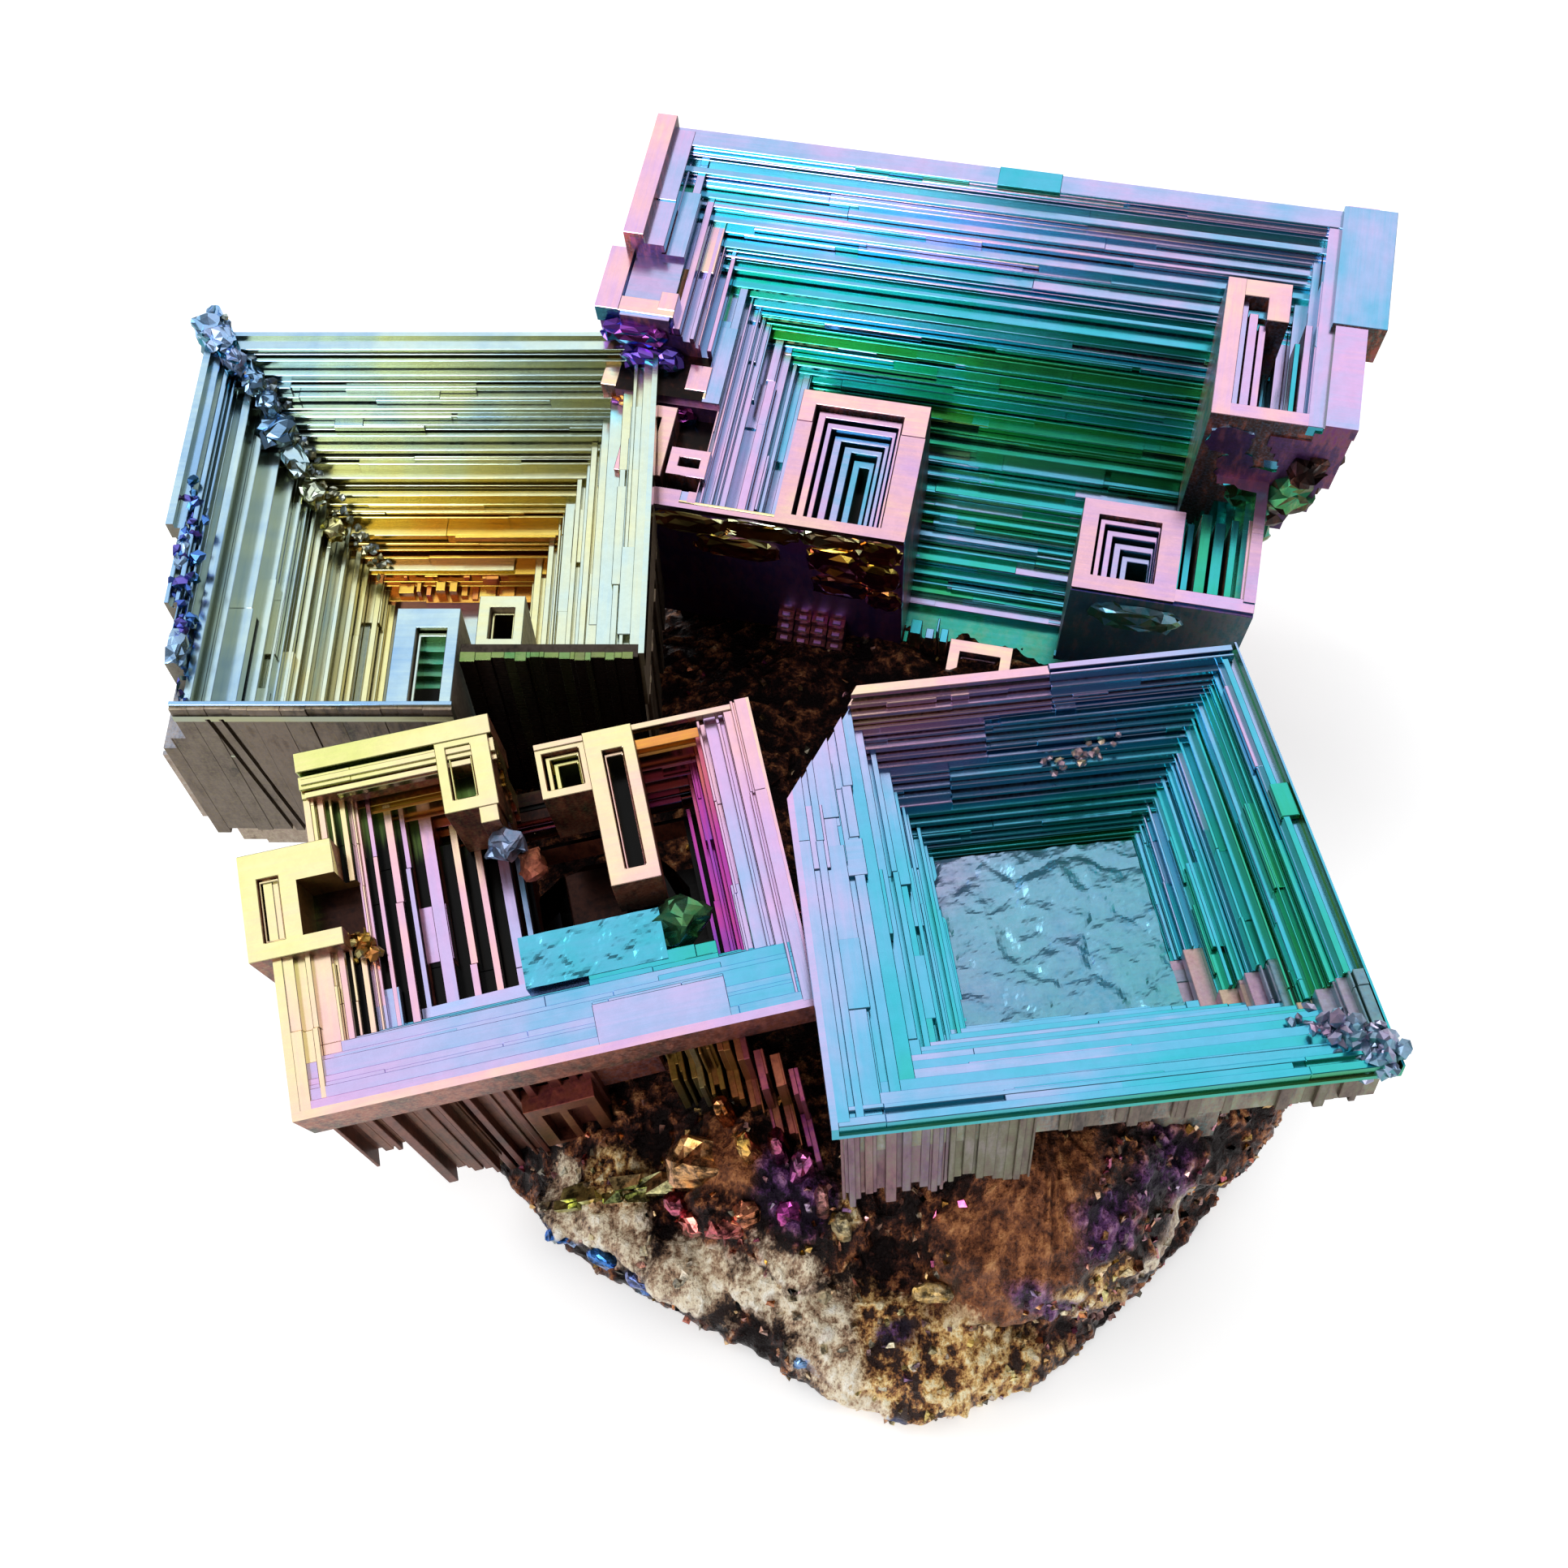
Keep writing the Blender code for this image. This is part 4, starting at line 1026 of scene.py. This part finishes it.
def reach(angle):
    """How far the crust's outline is from its middle in that direction."""
    middle_x, middle_y = CRUST_MIDDLE
    arms = [(x - middle_x, y - middle_y) for x, y in CRUST_OUTLINE]
    corners = sorted((atan2(y, x) % tau, hypot(x, y)) for x, y in arms)
    corners = [(corners[-1][0] - tau, corners[-1][1])] + corners + [(corners[0][0] + tau, corners[0][1])]
    for (a, near), (b, far) in zip(corners, corners[1:]):
        if a <= angle <= b:
            return near + (far - near) * (angle - a) / (b - a)


def crust(material, rock_material):
    """The rough mass that carries the hoppers."""
    bm = bmesh.new()
    bmesh.ops.create_cone(bm, cap_ends=True, segments=CRUST_SIDES, radius1=1, radius2=1, depth=1)
    bottom = min(bm.faces, key=lambda face: face.normal.z)
    top = max(bm.faces, key=lambda face: face.normal.z)
    rings = [list(bottom.verts), list(top.verts)]
    while len(rings) < len(CRUST_RINGS):
        top = bmesh.ops.extrude_discrete_faces(bm, faces=[top])["faces"][0]
        rings.append(list(top.verts))
    for verts, (z, share) in zip(rings, CRUST_RINGS):
        for v in verts:
            angle = atan2(v.co.y, v.co.x) % tau
            far = reach(angle) * share * CRUST_ROOM
            v.co = (CRUST_MIDDLE[0] + far * cos(angle), CRUST_MIDDLE[1] + far * sin(angle), z)
    for middle, half in LUMPS + KNOBS:
        lump = bmesh.ops.create_icosphere(bm, subdivisions=3, radius=1.0)["verts"]
        for v in lump:
            v.co = [centre + size * unit for centre, size, unit in zip(middle, half, v.co)]
    rough = bpy.data.objects.new("crust_form", as_mesh(bm, "crust"))
    bpy.context.scene.collection.objects.link(rough)
    remesh = rough.modifiers.new("Remesh", "REMESH")
    remesh.mode = "VOXEL"
    remesh.voxel_size = CRUST_VOXEL
    depsgraph = bpy.context.evaluated_depsgraph_get()
    depsgraph.update()
    made = bpy.data.meshes.new_from_object(rough.evaluated_get(depsgraph))
    bpy.data.objects.remove(rough)
    refine(made)
    zone(made)
    roughen(made)
    crumbs(made, rock_material)
    mark_place(made)
    made.transform(Matrix.Scale(MM, 4))
    return piece("crust", made, material)


def crumbs(crust_mesh, material):
    """Broken bits all over the crust, and the larger rocks on it."""
    rng = Random(77)
    bm = bmesh.new()
    layers = [bm.faces.layers.float.new(key) for key in ("film", "tarnish", "run")]
    zones = {name: crust_mesh.attributes[name].data for name in ZONES}
    for face in crust_mesh.polygons:
        dense = CRUMBS_EACH_MM2 if face.center.y < CRUMBS_FRONT else CRUMBS_BEHIND
        if face.center.z < 0.5 or rng.random() > face.area * dense:
            continue
        found = [name for name in ZONES if zones[name][face.vertices[0]].value > rng.uniform(0.3, 1.0)]
        kind = found[0] if found else "brown"
        if kind == "smooth" or rng.random() > CRUMB_SHARES[kind]:
            continue
        films, dulls, size = CRUMB_KINDS[kind]
        half = [size * rng.uniform(0.4, 1.2) for _ in range(3)]
        half[2] *= 1.6
        turn = [rng.gauss(0, 22) for _ in range(3)]
        middle = face.center - 0.2 * size * face.normal
        shard(bm, layers, middle, half, turn, rng.choice(films), rng.choice(dulls), rng)
    for step in range(CREST_SHARDS):
        middle = Vector(CREST[0]).lerp(Vector(CREST[1]), step / (CREST_SHARDS - 1))
        middle += Vector((0.0, 0.45 * (step % 2), 0.4 * (step % 3)))
        shard(bm, layers, middle, (0.9, 0.4, 0.3), (0, -20, 5), rng.uniform(0.76, 0.82), 0.1, rng)
    for middle, half, turn, film, tarnish in ROCKS:
        rock(bm, layers, middle, half, turn, film, tarnish)
    mesh = as_mesh(bm, "crust_crumbs")
    mark_place(mesh)
    mesh.transform(Matrix.Scale(MM, 4))
    return piece("crust_crumbs", mesh, material)


def paint(bm, layers, start, film, tarnish):
    """Gives the faces made since start their numbers for the material."""
    bm.faces.ensure_lookup_table()
    for face in bm.faces[start:]:
        face[layers[0]] = film
        face[layers[1]] = tarnish


def shard(bm, layers, middle, half, turn, film, tarnish, rng):
    """A small block with its corners knocked about."""
    start = len(bm.faces)
    spin = turned(turn)
    for v in bmesh.ops.create_cube(bm, size=2.0)["verts"]:
        v.co = Vector(middle) + spin @ Vector([c * s * rng.uniform(0.4, 1.1) for c, s in zip(v.co, half)])
    paint(bm, layers, start, film, tarnish)


def rock(bm, layers, middle, half, turn, film, tarnish):
    """A larger rock: rounded, with dents and ridges."""
    start = len(bm.faces)
    lumpy(bm, middle, half, turn, lump=0.4, pitch=0.9)
    paint(bm, layers, start, film, tarnish)


def zone(mesh):
    """Marks where the crust is pale, golden, violet, blue or smooth, each from a few middles and radii."""
    for name, spots in ZONES.items():
        layer = mesh.attributes.new(name, "FLOAT", "POINT").data
        for v in mesh.vertices:
            wander = 1.5 * noise.noise_vector(v.co / 2.5)
            near = min((v.co + wander - Vector(middle)).length / radius for middle, radius in spots)
            layer[v.index].value = min(1.0, max(0.0, 2.2 - 2.0 * near))


def refine(mesh):
    """Smaller faces where the crust stands out in front of the hoppers."""
    bm = bmesh.new()
    bm.from_mesh(mesh)
    front = [face for face in bm.faces if face.calc_center_median().y < CRUMBS_FRONT]
    edges = {edge for face in front if face.normal.z > UNDERSIDE for edge in face.edges}
    bmesh.ops.subdivide_edges(bm, edges=list(edges), cuts=2, use_grid_fill=True)
    bm.to_mesh(mesh)
    bm.free()


def roughen(mesh):
    """Pushes the crust's points in and out: lumps, sharp crumbs and pits, ribs on the fan, a flat foot."""
    normals = [Vector(n.vector) for n in mesh.vertex_normals]
    smooth = mesh.attributes["smooth"].data
    pale = mesh.attributes["pale"].data
    height = mesh.attributes.new("height", "FLOAT", "POINT").data
    apex = Vector(FAN_APEX)
    for v, normal in zip(mesh.vertices, normals):
        p = v.co.copy()
        rough = (1.0 - 0.95 * smooth[v.index].value) * (1.0 - 0.5 * pale[v.index].value)
        upright = Vector((p.x, p.y, 0.4 * p.z))
        crag = noise.ridged_multi_fractal(upright / 1.9, 0.8, 2.2, 5, 0.9, 1.6) - 1.2
        cell = noise.voronoi(upright / 0.8)[0]
        pit = cell[1] - cell[0] - 0.35
        fine = rough * (0.3 * crag + 0.4 * pit)
        if rough < 1.0:
            away = p - apex
            ray = atan2(away.x, -away.z)
            fine += (1.0 - rough) * 0.25 * noise.noise(Vector((ray * 12.0, 0.2 * away.length, 0.0)))
        # The fine relief is kept, so that the material paints shade in the pits and highlights on the knobs.
        height[v.index].value = 0.5 + fine
        push = 0.7 * noise.fractal(p / 5.0, 0.9, 2.0, 3) + fine
        edge = min(1.0, max(0.0, p.z / 1.5))
        v.co = p + normal * push * (0.25 + 0.75 * edge)
        if p.z < 0.25:
            v.co.z = 0.0
        v.co.z = max(v.co.z, 0.0)


# ---------------------------------------------------------------- materials

# The dull coats over the films: (noise value, red, green, blue).
TAUPE = (
    (0.36, 0.06, 0.04, 0.03), (0.44, 0.24, 0.17, 0.12), (0.55, 0.34, 0.26, 0.20),
    (0.64, 0.18, 0.12, 0.08),
)
UMBER = (
    (0.38, 0.016, 0.007, 0.007), (0.50, 0.09, 0.028, 0.018), (0.57, 0.34, 0.09, 0.05),
    (0.64, 0.28, 0.03, 0.13),
)
COPPER = (
    (0.36, 0.012, 0.004, 0.004), (0.46, 0.13, 0.025, 0.015), (0.55, 0.30, 0.08, 0.04),
    (0.64, 0.10, 0.015, 0.02),
)
MOSS = (
    (0.36, 0.05, 0.035, 0.03), (0.46, 0.20, 0.14, 0.11), (0.54, 0.22, 0.21, 0.13),
    (0.64, 0.34, 0.29, 0.27),
)
CREAM = (
    (0.36, 0.16, 0.07, 0.03), (0.44, 0.62, 0.46, 0.28), (0.52, 0.85, 0.76, 0.58),
    (0.62, 0.92, 0.88, 0.78),
)


class Nodes:
    """Short names for building a node tree."""

    def __init__(self, name):
        self.material = bpy.data.materials.new(name)
        self.material.use_nodes = True
        self.tree = self.material.node_tree
        self.surface = self.tree.nodes["Principled BSDF"]

    def new(self, kind, inputs=(), **settings):
        """A node with its settings, and (socket, value or output) pairs for its inputs."""
        node = self.tree.nodes.new(kind)
        for key, value in settings.items():
            setattr(node, key, value)
        for socket, value in inputs:
            if isinstance(value, bpy.types.NodeSocket):
                self.tree.links.new(value, node.inputs[socket])
            else:
                node.inputs[socket].default_value = value
        return node

    def attribute(self, name, output="Fac"):
        return self.new("ShaderNodeAttribute", attribute_name=name).outputs[output]

    def math(self, operation, a, b):
        return self.new("ShaderNodeMath", ((0, a), (1, b)), operation=operation).outputs[0]

    def add(self, a, b):
        return self.math("ADD", a, b)

    def times(self, a, b):
        return self.math("MULTIPLY", a, b)

    def clamp(self, value):
        return self.new("ShaderNodeClamp", ((0, value),)).outputs[0]

    def point(self, x, y, z):
        return self.new("ShaderNodeCombineXYZ", ((0, x), (1, y), (2, z))).outputs[0]

    def vector(self, operation, a, b):
        node = self.new("ShaderNodeVectorMath", ((0, a), (1, b)), operation=operation)
        return node.outputs["Value" if operation == "DOT_PRODUCT" else "Vector"]

    def noise(self, place, scale, detail=3.0, roughness=0.55, distortion=0.0):
        inputs = (("Vector", place), ("Scale", scale), ("Detail", detail), ("Roughness", roughness),
                  ("Distortion", distortion))
        return self.new("ShaderNodeTexNoise", inputs).outputs["Fac"]

    def spread(self, value, low, high):
        """A noise value from 0.3..0.7 spread over low..high."""
        inputs = (("Value", value), ("From Min", 0.3), ("From Max", 0.7), ("To Min", low), ("To Max", high))
        return self.new("ShaderNodeMapRange", inputs).outputs["Result"]

    def ramp(self, value, stops):
        """A colour ramp with stops (position, red, green, blue)."""
        node = self.new("ShaderNodeValToRGB", (("Fac", value),))
        ramp = node.color_ramp
        while len(ramp.elements) < len(stops):
            ramp.elements.new(0.5)
        for element, stop in zip(ramp.elements, stops):
            element.position = stop[0]
        for element, stop in zip(ramp.elements, stops):
            element.color = (*stop[1:], 1.0)
        return node.outputs["Color"]

    def mix(self, factor, a, b):
        node = self.new("ShaderNodeMix", data_type="RGBA")
        for socket, value in (("Factor_Float", factor), ("A_Color", a), ("B_Color", b)):
            target = next(s for s in node.inputs if s.identifier == socket)
            if isinstance(value, bpy.types.NodeSocket):
                self.tree.links.new(value, target)
            else:
                target.default_value = value
        return next(s for s in node.outputs if s.identifier == "Result_Color")

    def link(self, output, socket):
        self.tree.links.new(output, self.surface.inputs[socket])

    def bump(self, height, strength, distance):
        inputs = (("Strength", strength), ("Distance", distance), ("Height", height))
        self.link(self.new("ShaderNodeBump", inputs).outputs["Normal"], "Normal")


# The crust's colours from its pits to its knobs, dark to light, which paints shade in the pits and
# highlights on the knobs: level, red, green, blue.
CRUST_COLOURS = (
    (0.25, 0.006, 0.002, 0.002), (0.42, 0.06, 0.018, 0.012), (0.55, 0.26, 0.09, 0.035),
    (0.72, 0.50, 0.24, 0.10), (0.90, 0.80, 0.58, 0.34),
)
# The same for its patches, each laid over the ones before it.
PATCH_COLOURS = {
    "smooth": (
        (0.3, 0.05, 0.014, 0.006), (0.5, 0.20, 0.065, 0.025), (0.65, 0.38, 0.15, 0.055),
        (0.85, 0.55, 0.28, 0.12),
    ),
    "golden": (
        (0.18, 0.03, 0.01, 0.006), (0.3, 0.36, 0.14, 0.04), (0.44, 0.85, 0.56, 0.2),
        (0.6, 0.98, 0.88, 0.58),
    ),
    "pale": (
        (0.2, 0.03, 0.012, 0.008), (0.32, 0.40, 0.24, 0.14), (0.45, 0.84, 0.72, 0.52),
        (0.62, 0.96, 0.92, 0.82),
    ),
    "violet": ((0.3, 0.01, 0.004, 0.015), (0.5, 0.10, 0.03, 0.13), (0.7, 0.34, 0.16, 0.32),
               (0.9, 0.6, 0.4, 0.5)),
    "blue": ((0.3, 0.01, 0.02, 0.10), (0.5, 0.05, 0.16, 0.55), (0.7, 0.3, 0.55, 0.85)),
}


def film_material(name, drift, swing, coat, painted_pit_shade=0.05):
    """Bismuth under its oxide film.

    drift is how the film changes per millimetre, swing how far it wanders, coat the tarnish colours, and
    the last argument how dark its random dark spots are, which are painted shade of pits.
    """
    n = Nodes(name)
    place = n.attribute("place", "Vector")
    run = n.attribute("run")
    tarnish = n.attribute("tarnish")
    x, y, z = n.new("ShaderNodeSeparateXYZ", ((0, place),)).outputs
    along = n.add(n.times(x, n.math("SUBTRACT", 1.0, run)), n.times(y, run))
    across = n.add(n.times(y, n.math("SUBTRACT", 1.0, run)), n.times(x, run))
    flow = n.point(n.times(along, 0.05), across, z)
    streak = n.noise(flow, 3.5, 4.0, 0.65)
    cloud = n.noise(place, 0.16, 3.0, 0.6, 0.4)
    grain = n.noise(place, 6.0, 3.0, 0.7)
    film = n.attribute("film")
    film = n.add(film, n.vector("DOT_PRODUCT", place, drift))
    film = n.add(film, n.spread(cloud, -swing, swing))
    film = n.add(film, n.spread(streak, -0.3 * swing, 0.3 * swing))
    film = n.math("DIVIDE", film, FILM_SPAN)
    colour = n.ramp(film, [(at / FILM_SPAN, *rgb) for at, *rgb in FILM_COLOURS])
    upright = n.point(x, y, n.times(z, 0.25))
    stain = n.add(n.times(n.noise(upright, 2.2, 4.0, 0.7), 0.5), n.times(cloud, 0.5))
    coat_colour = n.ramp(stain, coat)
    dull = n.clamp(n.times(tarnish, n.spread(grain, 0.8, 1.1)))
    colour = n.mix(dull, colour, coat_colour)
    # Random dark spots, painted as the shade of pits, and the painted shade of the risers darken the colour.
    spots = n.noise(place, 1.3, 5.0, 0.75)
    spots = n.clamp(n.spread(spots, 1.6, -0.6))
    dark = n.math("MAXIMUM", n.attribute("shade"), n.times(spots, painted_pit_shade))
    colour = n.mix(dark, colour, (0.0, 0.0, 0.0, 1.0))
    n.link(colour, "Base Color")
    n.link(n.math("SUBTRACT", 1.0, n.times(tarnish, 0.35)), "Metallic")
    rough = n.add(n.spread(streak, 0.16, 0.24), n.times(tarnish, 0.26))
    n.link(rough, "Roughness")
    height = n.add(streak, n.times(grain, 0.35))
    n.bump(height, 0.3, 0.00001)
    return n.material


def crust_material():
    """Oxide-coated broken metal with pale, golden, violet and blue patches and random mottling, with painted
    shade in its pits and painted highlights on its knobs.
    """
    n = Nodes("crust")
    place = n.attribute("place", "Vector")
    upright = n.vector("MULTIPLY", place, (1.0, 1.0, 0.35))
    mottle = n.noise(upright, 1.5, 5.0, 0.75)
    fine = n.noise(upright, 5.0, 4.0, 0.75)
    calm = n.math("SUBTRACT", 1.0, n.times(n.attribute("pale"), 0.6))
    level = n.add(n.attribute("height"), n.times(n.spread(mottle, -0.3, 0.3), calm))
    level = n.add(level, n.spread(fine, -0.12, 0.12))
    # Low points get painted shade and high points painted highlights, over the crust's own mottled colour.
    colour = n.ramp(level, CRUST_COLOURS)
    for name, stops in PATCH_COLOURS.items():
        edge = n.add(n.attribute(name), n.spread(fine, -0.35, 0.35))
        edge = n.times(n.clamp(edge), n.math("GREATER_THAN", n.attribute(name), 0.02))
        colour = n.mix(edge, colour, n.ramp(level, stops))
    n.link(colour, "Base Color")
    matt = n.math("MAXIMUM", n.attribute("pale"), n.times(n.attribute("golden"), 0.6))
    n.link(n.math("SUBTRACT", 0.8, n.times(matt, 0.6)), "Metallic")
    n.link(n.spread(fine, 0.2, 0.5), "Roughness")
    height = n.add(mottle, n.times(fine, 0.6))
    n.bump(height, 0.9, 0.0003)
    return n.material


# ---------------------------------------------------------------- the studio

SENSOR = 36.0                                     # millimetres
FOCAL_PIXELS, PHOTO_PIXELS = 2050.0, 1932.0       # the photo's focal length and width
CAMERA_AT, CAMERA_TURN = (-0.0001, -0.05495, 0.0885), 35.0
AIM = (0.0, 0.0, 0.015)                           # what the lights look at

def studio():
    """A pale floor, soft light from above and behind, and the camera."""
    scene = bpy.context.scene
    scene.view_settings.view_transform = "Standard"
    world = bpy.data.worlds.new("studio")
    world.use_nodes = True
    world.node_tree.nodes["Background"].inputs["Color"].default_value = (0.97, 0.98, 1.0, 1.0)
    world.node_tree.nodes["Background"].inputs["Strength"].default_value = 0.2
    scene.world = world

    bm = bmesh.new()
    bmesh.ops.create_grid(bm, x_segments=1, y_segments=1, size=2.0)
    mesh = as_mesh(bm, "floor")
    floor = bpy.data.objects.new("floor", mesh)
    scene.collection.objects.link(floor)
    n = Nodes("floor")
    place = n.new("ShaderNodeNewGeometry").outputs["Position"]
    n.link(n.ramp(n.noise(place, 60.0), ((0.3, 0.86, 0.86, 0.86), (0.7, 0.9, 0.9, 0.9))), "Base Color")
    n.surface.inputs["Roughness"].default_value = 0.8
    n.surface.inputs["Emission Color"].default_value = (1.0, 1.0, 1.0, 1.0)
    n.surface.inputs["Emission Strength"].default_value = 0.4
    mesh.materials.append(n.material)

    softbox("sky", (0.0, 0.25, 0.42), size=1.1, power=3.9)
    softbox("key", (-0.35, 0.12, 0.35), size=0.22, power=0.6)
    softbox("front", (-0.26, -0.40, 0.30), size=0.26, power=1.45)

    camera = bpy.data.cameras.new("camera")
    camera.sensor_width = SENSOR
    camera.lens = SENSOR * FOCAL_PIXELS / PHOTO_PIXELS
    camera.clip_start = 0.001
    holder = bpy.data.objects.new("camera", camera)
    holder.location = CAMERA_AT
    holder.rotation_euler = (radians(CAMERA_TURN), 0.0, 0.0)
    scene.collection.objects.link(holder)
    scene.camera = holder


def softbox(name, at, size, power):
    """A square area light that looks at the object."""
    light = bpy.data.lights.new(name, "AREA")
    light.size = size
    light.energy = power
    made = bpy.data.objects.new(name, light)
    made.location = at
    made.rotation_euler = (Vector(AIM) - Vector(at)).to_track_quat("-Z", "Y").to_euler()
    bpy.context.scene.collection.objects.link(made)


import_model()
noise.seed_set(4)
gold_hopper(film_material("gold_film", drift=(0.0015, 0.0, 0.0), swing=0.02, coat=TAUPE))
violet_hopper(film_material("violet_film", drift=(0.0, 0.0, 0.0), swing=0.04, coat=UMBER))
rose_film = film_material("rose_film", drift=(0.004, -0.006, 0.0), swing=0.03, coat=COPPER)
rose_hopper(rose_film)
rose_apron(rose_film)
teal_hopper(film_material("teal_film", drift=(0.005, -0.005, 0.0), swing=0.03, coat=MOSS))
rock_film = film_material("rock_film", drift=(0.0, 0.0, 0.0), swing=0.02, coat=CREAM, painted_pit_shade=0.9)
crust(crust_material(), rock_film)
studio()
